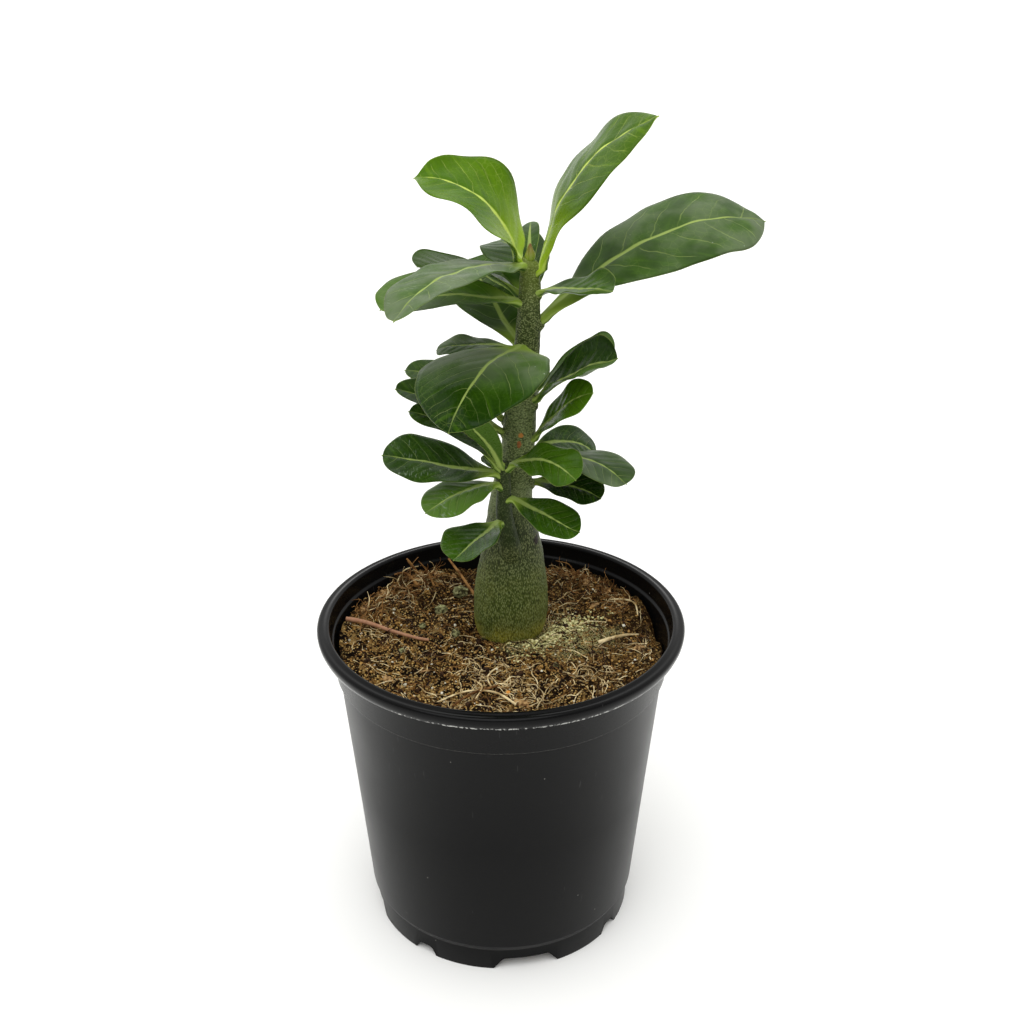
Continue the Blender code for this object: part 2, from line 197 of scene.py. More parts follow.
def cut_drain_notch(pot, azimuth, width, top_share, notch_height):
    """Cuts a wedge, narrower at its top, through the corner of the pot."""
    beyond = 2
    middle = heading(azimuth) * (POT_RINGS[1][0] + (beyond - NOTCH_REACH) / 2) * MM
    low = -1
    height = notch_height - low
    bpy.ops.mesh.primitive_cube_add(size=1, location=(*middle.xy, (low + height / 2) * MM))
    notch = bpy.context.object
    notch.rotation_euler.z = math.radians(azimuth)
    notch.scale = (width * MM, (NOTCH_REACH + beyond) * MM, height * MM)
    bpy.ops.object.transform_apply(location=False, rotation=False, scale=True)
    for corner in notch.data.vertices:
        if corner.co.z > 0:
            corner.co.x *= top_share
    apply_modifier(notch, "BEVEL", width=1.2 * MM, segments=3, limit_method="ANGLE")
    apply_modifier(pot, "BOOLEAN", object=notch, operation="DIFFERENCE", solver="EXACT")
    bpy.data.objects.remove(notch)


class Finish:
    """A material under construction, with short names for the nodes that it is made of."""

    def __init__(self, name):
        self.material = bpy.data.materials.new(name)
        self.material.use_nodes = True
        self.tree = self.material.node_tree
        self.shader = self.tree.nodes["Principled BSDF"]
        self.place = self.add("ShaderNodeTexCoord").outputs["Object"]
        self.colour = (0, 0, 0)

    def add(self, kind, inputs=None, **settings):
        node = self.tree.nodes.new(kind)
        for name, value in settings.items():
            setattr(node, name, value)
        for socket, value in (inputs or {}).items():
            self.feed(node.inputs[socket], value)
        return node

    def feed(self, socket, value):
        if isinstance(value, bpy.types.NodeSocket):
            self.tree.links.new(value, socket)
        elif isinstance(value, tuple) and socket.type == "RGBA":
            socket.default_value = (*value, 1)
        else:
            socket.default_value = value

    def set(self, **sockets):
        """Feeds the shader's sockets: underscores in a name stand for spaces."""
        for name, value in sockets.items():
            self.feed(self.shader.inputs[name.replace("_", " ")], value)

    def axis(self, name):
        """How far along X, Y or Z a point of the object is, in metres."""
        return self.add("ShaderNodeSeparateXYZ", {0: self.place}).outputs[name]

    def calc(self, operation, first, second=0.0):
        return self.add("ShaderNodeMath", {0: first, 1: second}, operation=operation).outputs[0]

    def times(self, first, *others):
        for other in others:
            first = self.calc("MULTIPLY", first, other)
        return first

    def off(self, value, level):
        """How far value is from level, either way."""
        return self.calc("ABSOLUTE", self.calc("SUBTRACT", value, level))

    def fade(self, value, low, high, at_low=0.0, at_high=1.0):
        """Goes smoothly from at_low to at_high as value goes from low to high."""
        inputs = {"Value": value, "From Min": low, "From Max": high, "To Min": at_low, "To Max": at_high}
        return self.add("ShaderNodeMapRange", inputs, interpolation_type="SMOOTHSTEP").outputs[0]

    def paint(self, share, under, over):
        """The colour over laid on the colour under, in that share."""
        inputs = {0: share, 6: under, 7: over}
        return self.add("ShaderNodeMix", inputs, data_type="RGBA", clamp_factor=True).outputs[2]

    def coat(self, share, over):
        """Lays one more colour on the finish, in that share."""
        self.colour = self.paint(share, self.colour, over)

    def stretched(self, place, along):
        return self.add("ShaderNodeMapping", {"Vector": place, "Scale": along}).outputs[0]

    def shifted(self, *along):
        """Places on the object, moved that far in metres."""
        return self.add("ShaderNodeMapping", {"Vector": self.place, "Location": along}).outputs[0]

    def reach(self, place):
        """How far a place is from the origin."""
        return self.add("ShaderNodeVectorMath", {0: place}, operation="LENGTH").outputs["Value"]

    def cloud(self, size, detail=2.0, place=None, rough=0.5):
        """Noise from 0 to 1 whose largest blotches are about that many mm."""
        inputs = {"Vector": place or self.place, "Scale": 1 / (size * MM)}
        inputs.update({"Detail": detail, "Roughness": rough})
        return self.add("ShaderNodeTexNoise", inputs).outputs["Fac"]

    def cells(self, size, place=None, feature="F1"):
        """Distance from the middle, or from the edge, of cells that are about that many mm wide."""
        inputs = {"Vector": place or self.place, "Scale": 1 / (size * MM)}
        return self.add("ShaderNodeTexVoronoi", inputs, feature=feature).outputs["Distance"]

    def relief(self, height, depth):
        """Bump of that depth in mm."""
        inputs = {"Height": height, "Distance": depth * MM, "Strength": 1.0}
        return self.add("ShaderNodeBump", inputs).outputs[0]


def place_piece(piece, finish, slot, *nodes):
    """Gives a finished mesh its material and its place in the frame."""
    piece.data.materials.clear()
    piece.data.materials.append(finish.material)
    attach(piece, "root")
    if nodes:
        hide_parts(*nodes)


pot_rings = [(Vector((0, 0, height * MM)), radius * MM) for radius, height in POT_RINGS]
pot = grow_rings("pot_shell", pot_rings, POT_SIDES)
apply_modifier(pot, "BEVEL", width=0.35 * MM, segments=2, limit_method="ANGLE", angle_limit=math.radians(25))
for azimuth, shape in NOTCHES:
    cut_drain_notch(pot, azimuth, *shape)
smooth_shading(pot, 35)

plastic = Finish("black_plastic")
height = plastic.axis("Z")
radius = plastic.reach(plastic.stretched(plastic.place, (1, 1, 0)))
haze = plastic.cloud(30, 3)
plastic.colour = plastic.paint(haze, (0.0022, 0.0022, 0.0025), (0.0036, 0.0036, 0.0036))
# Rubbed edges: chips and scuffs along the rim's lower corner
rim_edge = plastic.fade(plastic.off(height, 131.4 * MM), 0.0003, 0.0008, 1, 0)
rim_edge = plastic.times(rim_edge, plastic.fade(radius, 72.8 * MM, 73.4 * MM))
chips = plastic.fade(plastic.cloud(1.1, 3), 0.47, 0.56)
runs = plastic.fade(plastic.cloud(16, 1), 0.30, 0.50)
plastic.coat(plastic.times(rim_edge, chips, runs), (0.42, 0.42, 0.40))
# Painted highlight: a thin light line along the collar's step. Then a faint lighter line along the foot's
# step
painted_step_highlight = plastic.fade(plastic.off(height, 116.2 * MM), 0.0002, 0.00045, 0.8, 0)
plastic.coat(painted_step_highlight, (0.12, 0.115, 0.10))
foot_line = plastic.fade(plastic.off(height, 10.6 * MM), 0.0001, 0.0009, 0.35, 0)
plastic.coat(foot_line, (0.05, 0.05, 0.048))
# Dust and fine scratches
dust = plastic.fade(plastic.cells(9), 0.025, 0.035, 1, 0)
plastic.coat(plastic.times(dust, 0.5), (0.30, 0.29, 0.26))
scratch = plastic.fade(plastic.cloud(1.2, 1, plastic.stretched(plastic.place, (1, 1, 0.08))), 0.76, 0.80)
plastic.coat(plastic.times(scratch, 0.10), (0.12, 0.12, 0.12))
satin = plastic.fade(haze, 0.3, 0.7, 0.30, 0.34)
satin = plastic.calc("SUBTRACT", satin, plastic.fade(height, 116 * MM, 117 * MM, 0, 0.06))
satin = plastic.calc("SUBTRACT", satin, plastic.fade(height, 130 * MM, 132 * MM, 0, 0.06))
plastic.set(Base_Color=plastic.colour, Roughness=satin, Specular_IOR_Level=0.10)
plastic.set(Normal=plastic.relief(plastic.cloud(0.8, 2), 0.02))
place_piece(pot, plastic, "pot_plastic", "pot")


# --------------------------------------------------------------------------- potting mix
# Peat and shredded coir, dried to a crumbly ochre crust, with painted shade darkening its gaps and pits. It
# fills the pot to a finger's breadth under the rim, is heaped at the back left and has shrunk from the wall
# at the right.

SOIL_RADIUS = 66.3
SOIL_GRID = 236
SOIL_SHAPES = [  # x, y, reach and rise of each heap or hollow, in mm
    (-46, 52, 11, 6.0), (-60, 28, 12, 3.5), (-66, 0, 13, 3.0), (-62, -24, 12, 2.0),
    (-26, 60, 10, 2.5), (48, 50, 12, 4.0), (30, 62, 8, 3.0), (62, 30, 8, 3.0),
    (60, -28, 9, 1.5), (66, 10, 8, -7.0), (68, -4, 5, -4.0), (-13, 6, 5, -4.5),
    (-11, 15, 4, -3.0), (-30, 30, 8, -2.0), (-20, 56, 6, -3.0), (-40, 20, 10, 1.2),
    (20, 22, 9, 1.6), (36, 8, 12, 1.5), (-2, -11, 3.5, -2.0), (-8, -13, 3.5, -2.2),
    (5, -12, 3, -1.6), (-16, -14, 3, -1.6), (0, -34, 14, 1.4), (-10, -56, 10, 1.6),
    (40, -40, 12, 1.0), (-48, -30, 12, 1.2),
]


def soil_top(x, y):
    """Height of the potting mix in mm at a place in mm."""
    spot = Vector((x, y, 0))
    level = 126 - 1.5 * y / 66.7 + 1.6 * noise.noise(spot / 22)
    for middle_x, middle_y, reach, rise in SOIL_SHAPES:
        away = math.hypot(x - middle_x, y - middle_y) / reach
        level += rise * math.exp(-away * away)
    level += 1.7 * noise.fractal(spot / 11 + Vector((3, 7, 1)), 0.7, 2.1, 4)
    lumps = 0.5 - noise.voronoi(spot / 5.3 + Vector((0, 0, 0.3)))[0][0]
    crumbs = 0.5 - noise.voronoi(spot / 2.1 + Vector((0, 0, 2.2)))[0][0]
    return level + 1.6 * lumps + 0.8 * crumbs


bpy.ops.mesh.primitive_grid_add(x_subdivisions=SOIL_GRID, y_subdivisions=SOIL_GRID, size=2)
soil = bpy.context.object
soil.name = "potting_mix_surface"
for point in soil.data.vertices:
    across, deep = point.co.x, point.co.y
    x = SOIL_RADIUS * across * math.sqrt(1 - deep * deep / 2)
    y = SOIL_RADIUS * deep * math.sqrt(1 - across * across / 2)
    point.co = Vector((x, y, soil_top(x, y))) * MM
hold(soil)
bpy.ops.object.mode_set(mode="EDIT")
bpy.ops.mesh.select_all(action="DESELECT")
bpy.ops.mesh.select_mode(type="EDGE")
bpy.ops.mesh.select_non_manifold()
soil_radius = SOIL_RADIUS
bpy.ops.mesh.extrude_region_move(TRANSFORM_OT_translate={"value": (0, 0, -1 * MM)})
for next_radius, drop in [(64.9, 8), (55.2, 102), (45.4, 11)]:
    bpy.ops.mesh.extrude_region_move(TRANSFORM_OT_translate={"value": (0, 0, -drop * MM)})
    change = next_radius / soil_radius
    bpy.ops.transform.resize(value=(change, change, 1), center_override=(0, 0, 0))
    soil_radius = next_radius
bpy.ops.transform.resize(value=(1, 1, 0), center_override=(0, 0, 2.4 * MM))
bpy.ops.mesh.edge_face_add()
bpy.ops.object.mode_set(mode="OBJECT")
face_outwards(soil)
smooth_shading(soil, 60)

peat = Finish("peat_and_coir")
broad = peat.cloud(17, 4, rough=0.6)
golden = peat.cloud(13, 3, peat.stretched(peat.place, (0.5, 1, 1)))
grain = peat.cloud(1.3, 4, rough=0.7)
fibre = peat.cloud(2.4, 3, peat.stretched(peat.place, (1, 0.22, 1)))
peat.colour = peat.paint(peat.fade(broad, 0.40, 0.60), (0.030, 0.013, 0.004), (0.150, 0.068, 0.014))
peat.coat(peat.fade(golden, 0.52, 0.66, 0, 0.8), (0.33, 0.18, 0.042))
peat.coat(peat.fade(grain, 0.50, 0.62), (0.34, 0.190, 0.058))
# Painted shade: the low spots of the grain, the pits between crumbs and the hollows are painted near-black
peat.coat(peat.fade(grain, 0.48, 0.38, 0, 0.95), (0.008, 0.004, 0.002))
pits = peat.cells(1.9)
peat.coat(peat.fade(pits, 0.48, 0.62, 0, 0.95), (0.005, 0.0025, 0.0015))
hollows = peat.cloud(5.5, 3, rough=0.6)
peat.coat(peat.fade(hollows, 0.47, 0.40, 0, 0.95), (0.004, 0.002, 0.0015))
peat.coat(peat.fade(fibre, 0.60, 0.66, 0, 0.55), (0.46, 0.29, 0.10))
beads = peat.fade(peat.cells(1.15), 0.38, 0.24)
beads = peat.times(beads, peat.fade(peat.cloud(5, 2), 0.36, 0.54, 0.40, 1.0))
peat.coat(beads, (0.72, 0.49, 0.18))
depth = peat.axis("Y")
peat.coat(peat.fade(depth, 0, 40 * MM, 0, 0.55), (0.034, 0.016, 0.005))
rightward = peat.axis("X")
peat.coat(peat.fade(rightward, 20 * MM, 50 * MM, 0, 0.45), (0.034, 0.016, 0.005))
# A pale green crust of algae in front and to the right of the stem
crust_place = peat.stretched(peat.shifted(-22 * MM, -2 * MM, -126 * MM), (1 / 30, 1 / 17, 0))
ragged = peat.calc("ADD", peat.reach(crust_place), peat.times(peat.cloud(8, 3), 0.0012))
crust = peat.fade(ragged, 0.0011, 0.0017, 1, 0)
lace = peat.fade(peat.cells(1.2, feature="DISTANCE_TO_EDGE"), 0.05, 0.14, 1, 0)
grainy = peat.times(crust, peat.fade(grain, 0.42, 0.60, 0.0, 0.5))
peat.coat(grainy, (0.26, 0.225, 0.065))
peat.coat(peat.times(crust, lace, 0.65), (0.62, 0.58, 0.27))
peat.set(Base_Color=peat.colour, Roughness=0.95, Specular_IOR_Level=0.05)
lumps = peat.calc("SUBTRACT", peat.times(grain, 1.8), pits)
peat.set(Normal=peat.relief(lumps, 1.3))
place_piece(soil, peat, "potting_mix", "soil")


# --------------------------------------------------------------------------- loose bits on the potting mix
# Crumbs of peat, grains of perlite and grit, chips of bark, and coir fibres that lie and stand
# every way. Each kind is one piece, made of many copies of one small shape.

ROOM_ROUND_STEM = 17
CRUMBS_WITHIN = 64.5  # mm from the middle of the pot, as for the next three
FIBRES_START_WITHIN = 63
HEAPS_START_WITHIN = 64
FIBRES_END_WITHIN = 64.5
FIBRE_STEPS = 8


def fibre_line(bend, share):
    """The middle of a fibre that bows and sways by that share of its length."""
    return Vector((bend * math.sin(math.pi * share), bend * 0.45 * math.sin(share * 9), share))


def thinned(point, bend, half_width):
    """Draws a point of the fat fibre blank in towards its middle line."""
    middle = fibre_line(bend, point.z)
    return middle + (point - middle) * half_width * (1.15 - point.z * 0.6)


def scatter(name, source, placements, finish):
    """Copies of a small mesh, joined in one piece of the potting mix.

    Each placement is a matrix. For a fibre it comes with its half-width as a share of its length.
    """
    points = [vertex.co.copy() for vertex in source.data.vertices]
    faces = [tuple(polygon.vertices) for polygon in source.data.polygons]
    all_points = []
    all_faces = []
    for placement in placements:
        first = len(all_points)
        if isinstance(placement, tuple):
            matrix, half_width = placement
            all_points += [matrix @ thinned(point, source["bend"], half_width) for point in points]
        else:
            matrix = placement
            all_points += [matrix @ point for point in points]
        all_faces += [tuple(first + corner for corner in face) for face in faces]
    mesh = bpy.data.meshes.new(name)
    mesh.from_pydata(all_points, [], all_faces)
    piece = bpy.data.objects.new(name, mesh)
    bpy.context.scene.collection.objects.link(piece)
    bpy.data.objects.remove(source)
    smooth_shading(piece, 40)
    place_piece(piece, finish, "potting_mix")


def from_stem(x, y):
    return math.hypot(x - 4, y - 10)


def spot_on_soil(draw, reach):
    """A random place in mm on the potting mix, clear of the stem."""
    while True:
        x, y = draw.uniform(-reach, reach), draw.uniform(-reach, reach)
        if math.hypot(x, y) < reach and from_stem(x, y) > ROOM_ROUND_STEM:
            return x, y


def lump(detail, unevenness, seed):
    """A rough little stone 2 units across."""
    draw = random.Random(seed)
    bpy.ops.mesh.primitive_ico_sphere_add(subdivisions=detail, radius=1)
    made = bpy.context.object
    for vertex in made.data.vertices:
        vertex.co *= 1 + draw.uniform(-unevenness, unevenness)
    return made


def tumbled(draw, x, y, sizes, sink=0.2):
    """A matrix that lays a lump of those half-sizes in mm on the potting mix."""
    spin = Matrix.Rotation(draw.uniform(0, 2 * math.pi), 4, "Z")
    turn = spin @ Matrix.Rotation(draw.uniform(-0.6, 0.6), 4, "X")
    height = soil_top(x, y) + (1 - sink) * sizes[2]
    size = Matrix.Diagonal((*(s * MM for s in sizes), 1))
    return Matrix.Translation(Vector((x, y, height)) * MM) @ turn @ size


def crumb_places(seed, count, smallest, largest):
    draw = random.Random(seed)
    places = []
    for _ in range(count):
        x, y = spot_on_soil(draw, CRUMBS_WITHIN)
        size = smallest + (largest - smallest) * draw.random() ** 2.5
        sizes = [size * draw.uniform(*span) for span in [(0.8, 1.3), (0.7, 1.1), (0.5, 0.9)]]
        places.append(tumbled(draw, x, y, sizes))
    return places


def grit_finish(name, dark, light):
    grit = Finish(name)
    tone = grit.paint(grit.fade(grit.cloud(1.3, 3), 0.35, 0.65), dark, light)
    grit.set(Base_Color=tone, Roughness=0.9, Specular_IOR_Level=0.1)
    grit.set(Normal=grit.relief(grit.cloud(0.4, 2), 0.15))
    return grit


dark_crumb = grit_finish("dark_peat_crumb", (0.010, 0.005, 0.003), (0.050, 0.024, 0.010))
tan_crumb = grit_finish("tan_coir_crumb", (0.10, 0.045, 0.011), (0.46, 0.265, 0.080))
pale_grain = grit_finish("perlite_grain", (0.42, 0.38, 0.26), (0.80, 0.77, 0.64))
algae_grain = grit_finish("algae_crust_grain", (0.34, 0.31, 0.10), (0.86, 0.81, 0.44))
scatter("dark_crumbs", lump(2, 0.22, 1), crumb_places(11, 130, 0.4, 1.4), dark_crumb)
scatter("tan_crumbs", lump(1, 0.2, 2), crumb_places(12, 2600, 0.2, 0.75), tan_crumb)
scatter("perlite_grains", lump(1, 0.15, 3), crumb_places(13, 220, 0.18, 0.75), pale_grain)


def crust_places(seed, count):
    """Flakes of algae that thin out on both sides of a line from the stem to the back right."""
    draw = random.Random(seed)
    places = []
    while len(places) < count:
        along = draw.gauss(0.4, 0.33)
        x, y = draw.gauss(12 + 26 * along, 4.5), draw.gauss(-6 + 24 * along, 4)
        if from_stem(x, y) > 16 and math.hypot(x, y) < 62:
            size = draw.uniform(0.2, 0.6)
            places.append(tumbled(draw, x, y, (size * 1.3, size, size * 0.5), 0))
    return places


scatter("algae_flakes", lump(1, 0.3, 4), crust_places(14, 700), algae_grain)
HUSKS = [  # x, y, length and width in mm
    (-40, 46, 9, 4), (-36, 51, 7, 3), (-45, 41, 8, 4), (-30, 54, 6, 3), (-51, 34, 6, 3), (-22, 57, 6, 3),
    (38, 46, 8, 4), (46, 39, 7, 3), (30, 53, 6, 3), (52, 31, 5, 3), (-59, 12, 5, 3), (-58, 18, 6, 2.5),
    (8, -50, 8, 3), (56, -8, 6, 3), (-30, -26, 6, 3), (40, 30, 6, 3), (-44, -34, 6, 2.5),
]
husk_draw = random.Random(15)
husks = [tumbled(husk_draw, x, y, (long / 2, wide / 2, 0.55), -0.2) for x, y, long, wide in HUSKS]
husk_bark = grit_finish("coir_husk", (0.10, 0.050, 0.018), (0.42, 0.26, 0.11))
scatter("coir_husks", lump(2, 0.33, 5), husks, husk_bark)
mossy = [tumbled(husk_draw, x, y, (size, size * 0.9, size * 0.8), 0.3) for x, y, size in [
    (-18, 38, 3.4), (-26, 27, 2.8), (-19, 4, 2.0), (-33, 10, 1.5), (-40, -12, 1.4), (22, -22, 1.3)]]
moss = grit_finish("mossy_peat", (0.035, 0.030, 0.012), (0.30, 0.30, 0.14))
scatter("mossy_lumps", lump(3, 0.16, 6), mossy, moss)
orange_grain = grit_finish("orange_grain", (0.62, 0.22, 0.03), (0.80, 0.42, 0.12))
orange_places = [tumbled(husk_draw, 3, -44.5, (1.0, 0.9, 0.8), 0)]
scatter("orange_grains", lump(2, 0.1, 7), orange_places, orange_grain)


def fibre_blank(bend):
    """A hair of coir 1 unit long, with three sides, that bows sideways by that share of its length."""
    rings = [(fibre_line(bend, step / FIBRE_STEPS), 1.0) for step in range(FIBRE_STEPS + 1)]
    blank = grow_rings("fibre", rings, 3)
    blank["bend"] = bend
    return blank


def fibre_places(seed, count, shortest, longest, thickness, lean, spots=None):
    """Places for fibres that lie or stand on the potting mix.

    Most fibres slope less than lean degrees. Each of the spots is x, y and spread in mm.
    """
    draw = random.Random(seed)
    places = []
    while len(places) < count:
        if spots:
            middle_x, middle_y, spread = draw.choice(spots)
            x, y = draw.gauss(middle_x, spread), draw.gauss(middle_y, spread)
        else:
            x, y = spot_on_soil(draw, FIBRES_START_WITHIN)
        if math.hypot(x, y) > HEAPS_START_WITHIN:
            continue
        length = draw.uniform(shortest, longest)
        azimuth = draw.uniform(0, 360)
        slope = math.radians(abs(draw.gauss(0, lean / 2)))
        for _ in range(8):
            direction = heading(azimuth) * math.cos(slope) + Vector((0, 0, math.sin(slope)))
            end = Vector((x, y, 0)) + direction * length
            if math.hypot(end.x, end.y) < FIBRES_END_WITHIN and from_stem(end.x, end.y) > 13.5:
                break
            azimuth += 45
        else:
            continue
        start_height = soil_top(x, y) + 0.3
        if slope < 0.35:
            rise = max(soil_top(end.x, end.y) + 0.3 - start_height, -length * 0.5)
            direction = Vector((direction.x, direction.y, rise / length)).normalized()
        turn = direction.to_track_quat("Z", "Y").to_matrix().to_4x4()
        roll = Matrix.Rotation(draw.uniform(0, 2 * math.pi), 4, "Z")
        size = Matrix.Scale(length * MM, 4)
        matrix = Matrix.Translation(Vector((x, y, start_height)) * MM) @ turn @ roll @ size
        places.append((matrix, draw.uniform(0.7, 1.2) * thickness / 2 / length))
    return places


def hair_finish(name, dark, light):
    hair = Finish(name)
    tone = hair.paint(hair.fade(hair.cloud(5, 2), 0.35, 0.65), dark, light)
    hair.set(Base_Color=tone, Roughness=0.75, Specular_IOR_Level=0.1)
    return hair


straw = hair_finish("straw_fibre", (0.36, 0.25, 0.11), (0.80, 0.66, 0.38))
coir = hair_finish("coir_fibre", (0.10, 0.042, 0.012), (0.30, 0.155, 0.050))
dark_coir = hair_finish("dark_fibre", (0.012, 0.006, 0.004), (0.05, 0.023, 0.011))
HEAPS = [  # x, y and spread in mm
    (-42, 48, 5), (-49, 38, 5), (-33, 54, 4), (42, 46, 6), (51, 33, 5), (33, 53, 4), (-57, 15, 4),
]
TUFTS = [(-6, -30, 5), (-2, -44, 6), (14, -42, 6), (-12, -50, 6), (24, 18, 5), (38, -34, 7)]
FIBRES = [  # name, finish, bow, seed, count, shortest, longest and thickness in mm, lean, spots
    ("straw_fibres", straw, 0.07, 21, 230, 4, 15, 0.34, 14),
    ("straw_curls", straw, 0.38, 27, 80, 3, 12, 0.34, 16),
    ("straw_tufts", straw, 0.12, 22, 170, 4, 11, 0.42, 25, TUFTS),
    ("coir_fibres", coir, 0.12, 23, 340, 3, 12, 0.32, 28),
    ("coir_heaps", coir, 0.18, 24, 330, 4, 12, 0.45, 50, HEAPS),
    ("straw_heaps", straw, 0.18, 28, 110, 4, 11, 0.40, 45, HEAPS),
    ("dark_fibres", dark_coir, 0.25, 25, 300, 4, 12, 0.50, 40),
]
for name, finish, bow, *spread in FIBRES:
    scatter(name, fibre_blank(bow), fibre_places(*spread), finish)


# --------------------------------------------------------------------------- root twig and sticks
# A dried red root lies bare at the left, and a brown stick leans behind the stem. Round them are
# a pale splinter, a curled root and the longest strands of the husk, on the mix or standing in it.

ROD_STEPS = 6  # from one bend to the next


def rod(name, bends, thick, thin):
    """A round twig through its bends in mm. thick and thin are its half-widths at its ends."""
    fine = []
    spans = len(bends) - 1
    for step in range(spans * ROD_STEPS + 1):
        run = step / ROD_STEPS
        first = min(int(run), spans - 1)
        share = run - first
        near = [min(max(first + k, 0), spans) for k in (-1, 0, 1, 2)]
        before, start, end, after = (Vector(bends[index]) for index in near)
        bend = (end - before) * (share - 2 * share ** 2 + share ** 3) / 2
        bend += (after - start) * (share ** 3 - share ** 2) / 2
        fine.append(start + (end - start) * (3 * share ** 2 - 2 * share ** 3) + bend)
    curve = bpy.data.curves.new(name, "CURVE")
    curve.dimensions = "3D"
    curve.bevel_depth = MM
    curve.bevel_resolution = 3
    curve.use_fill_caps = True
    line = curve.splines.new("POLY")
    line.points.add(len(fine) - 1)
    for index, (point, place) in enumerate(zip(line.points, fine)):
        share = index / (len(fine) - 1)
        point.co = (*place * MM, 1)
        knot = 1 + 0.18 * noise.noise(place * 0.5)
        point.radius = (thick + (thin - thick) * share) * knot
    piece = bpy.data.objects.new(name, curve)
    bpy.context.scene.collection.objects.link(piece)
    hold(piece)
    bpy.ops.object.convert(target="MESH")
    face_outwards(piece, 0.01 * MM)
    smooth_shading(piece, 50)
    return piece


def laid(x, y, clearance):
    """A point that far above the potting mix."""
    return x, y, soil_top(x, y) + clearance


red_root = Finish("red_root_bark")
rings = red_root.cloud(1.2, 3, red_root.stretched(red_root.place, (1, 0.4, 1)))
red_root.set(Base_Color=red_root.paint(rings, (0.20, 0.075, 0.032), (0.46, 0.24, 0.13)), Roughness=0.7)
red_root.set(Normal=red_root.relief(rings, 0.3))
twig = rod("root_twig_bark", [laid(-64.5, 8.5, 1.9), (-58, 6.5, 130.6), (-52, 5, 129.5), (-46, 2, 128.9),
                              (-41, 0, 128.4), (-35, -2.5, 128.0), laid(-29.5, -4, 0.7)], 1.0, 0.6)
place_piece(twig, red_root, "root_bark", "root_twig")

stick = rod("leaning_stick", [(-24, 60, 132), (-18, 48, 130), (-11, 32, 128)], 0.45, 0.7)
place_piece(stick, coir, "potting_mix")
STRANDS = [  # name, finish, half-width at both ends, then x, y and clearance of each bend, in mm
    ("pale_splinter", straw, 0.9, 0.3, (40, -3, 0.8), (49, -1, 1.1), (57, 4, 1.0)),
    ("husk_strand_1", straw, 0.3, 0.5, (-24, -50, 0.9), (-13, -46, 1.6), (-2, -47, 2.0), (6, -52, 0.8)),
    ("husk_strand_2", straw, 0.5, 0.25, (-9, -53, 0.8), (-7, -44, 1.6), (-11, -36, 0.8)),
    ("husk_strand_3", straw, 0.25, 0.4, (-1, -26, 0.6), (-5, -35, 1.4), (-3, -43, 1.4)),
    ("husk_strand_4", coir, 0.35, 0.6, (-18, -55, 0.7), (-11, -49, 1.8), (-1, -41, 0.7)),
    ("husk_strand_5", coir, 1.0, 0.4, (-34, 46, 1.5), (-39, 49, 4.5), (-42, 50, 7.5)),
    ("husk_strand_6", straw, 0.35, 0.25, (-46, 44, 1.0), (-43, 48, 3.5), (-37, 51, 5.5)),
    ("husk_strand_7", coir, 0.8, 0.4, (-37, 42, 1.0), (-42, 46, 3.5), (-47, 44, 4.5)),
    ("husk_strand_8", coir, 0.5, 0.25, (-30, 46, 0.8), (-33, 50, 4.0), (-37, 52, 7.0)),
    ("curled_root", straw, 0.4, 0.3, (47, 33, 1.2), (53, 30, 2.2), (57, 24, 1.4), (58, 19, 0.6)),
]
for name, finish, thick, thin, *bends in STRANDS:
    strand = rod(name, [laid(*bend) for bend in bends], thick, thin)
    place_piece(strand, finish, "potting_mix")


# --------------------------------------------------------------------------- caudex, trunk and side shoot
# The swollen foot, the trunk and the side shoot are one living stem. Its thin bark is grey-green and
# pebbled, with dry orange and brown scars, and a knob under each leaf.

TRUNK_Y = 10
TRUNK = [  # x, height and radius in mm
    (3.6, 118.5, 4.0), (3.6, 119.5, 8.5), (3.6, 122.0, 12.0), (3.6, 126.0, 14.2), (3.8, 132.0, 15.3),
    (4.0, 139.0, 15.5), (4.2, 148.0, 14.8), (4.4, 157.0, 13.4), (4.5, 166.0, 11.8), (4.3, 175.0, 10.2),
    (4.0, 185.0, 8.6), (5.2, 197.0, 7.3), (7.0, 209.0, 6.6), (7.6, 220.0, 6.4), (8.6, 232.0, 5.7),
    (10.0, 246.0, 5.1), (10.8, 259.0, 4.6), (11.2, 272.0, 4.1), (11.2, 280.0, 3.6), (11.2, 283.0, 2.6),
]
SHOOT = [  # x, y, height and radius in mm
    (4.5, 4.0, 158.0, 4.4), (4.0, -1.0, 168.0, 4.3), (2.4, -3.2, 178.0, 3.7), (1.4, -3.6, 186.0, 3.2),
    (1.3, -3.4, 197.0, 2.8), (1.8, -3.2, 207.0, 2.2),
]
ROUNDING = 3.0
RING_SPACING = 1.5
TRUNK_STATIONS = [(h, x, TRUNK_Y, r) for x, h, r in TRUNK]
SHOOT_STATIONS = [(h, x, y, r) for x, y, h, r in SHOOT]


def station(stations, height):
    """Centre and radius of a stem at a height, in mm, on the line between two stations."""
    for low, high in zip(stations, stations[1:]):
        if height <= high[0]:
            break
    share = (height - low[0]) / (high[0] - low[0])
    x, y, radius = (a + share * (b - a) for a, b in zip(low[1:], high[1:]))
    return Vector((x, y, height)), radius


def soft_station(stations, height):
    """The same, rounded off over the neighbouring heights."""
    lowest, highest = stations[0][0], stations[-1][0]
    reach = min(ROUNDING, height - lowest, highest - height)
    found = [station(stations, height + reach * k / 2) for k in (-2, -1, 0, 1, 2)]
    centre = sum((c for c, _ in found), Vector()) / 5
    return Vector((centre.x, centre.y, height)), sum(r for _, r in found) / 5


def stem_rings(stations):
    lowest, highest = stations[0][0], stations[-1][0]
    count = round((highest - lowest) / RING_SPACING)
    rings = []
    for index in range(count + 1):
        centre, radius = soft_station(stations, lowest + (highest - lowest) * index / count)
        rings.append((centre * MM, radius * MM))
    return rings


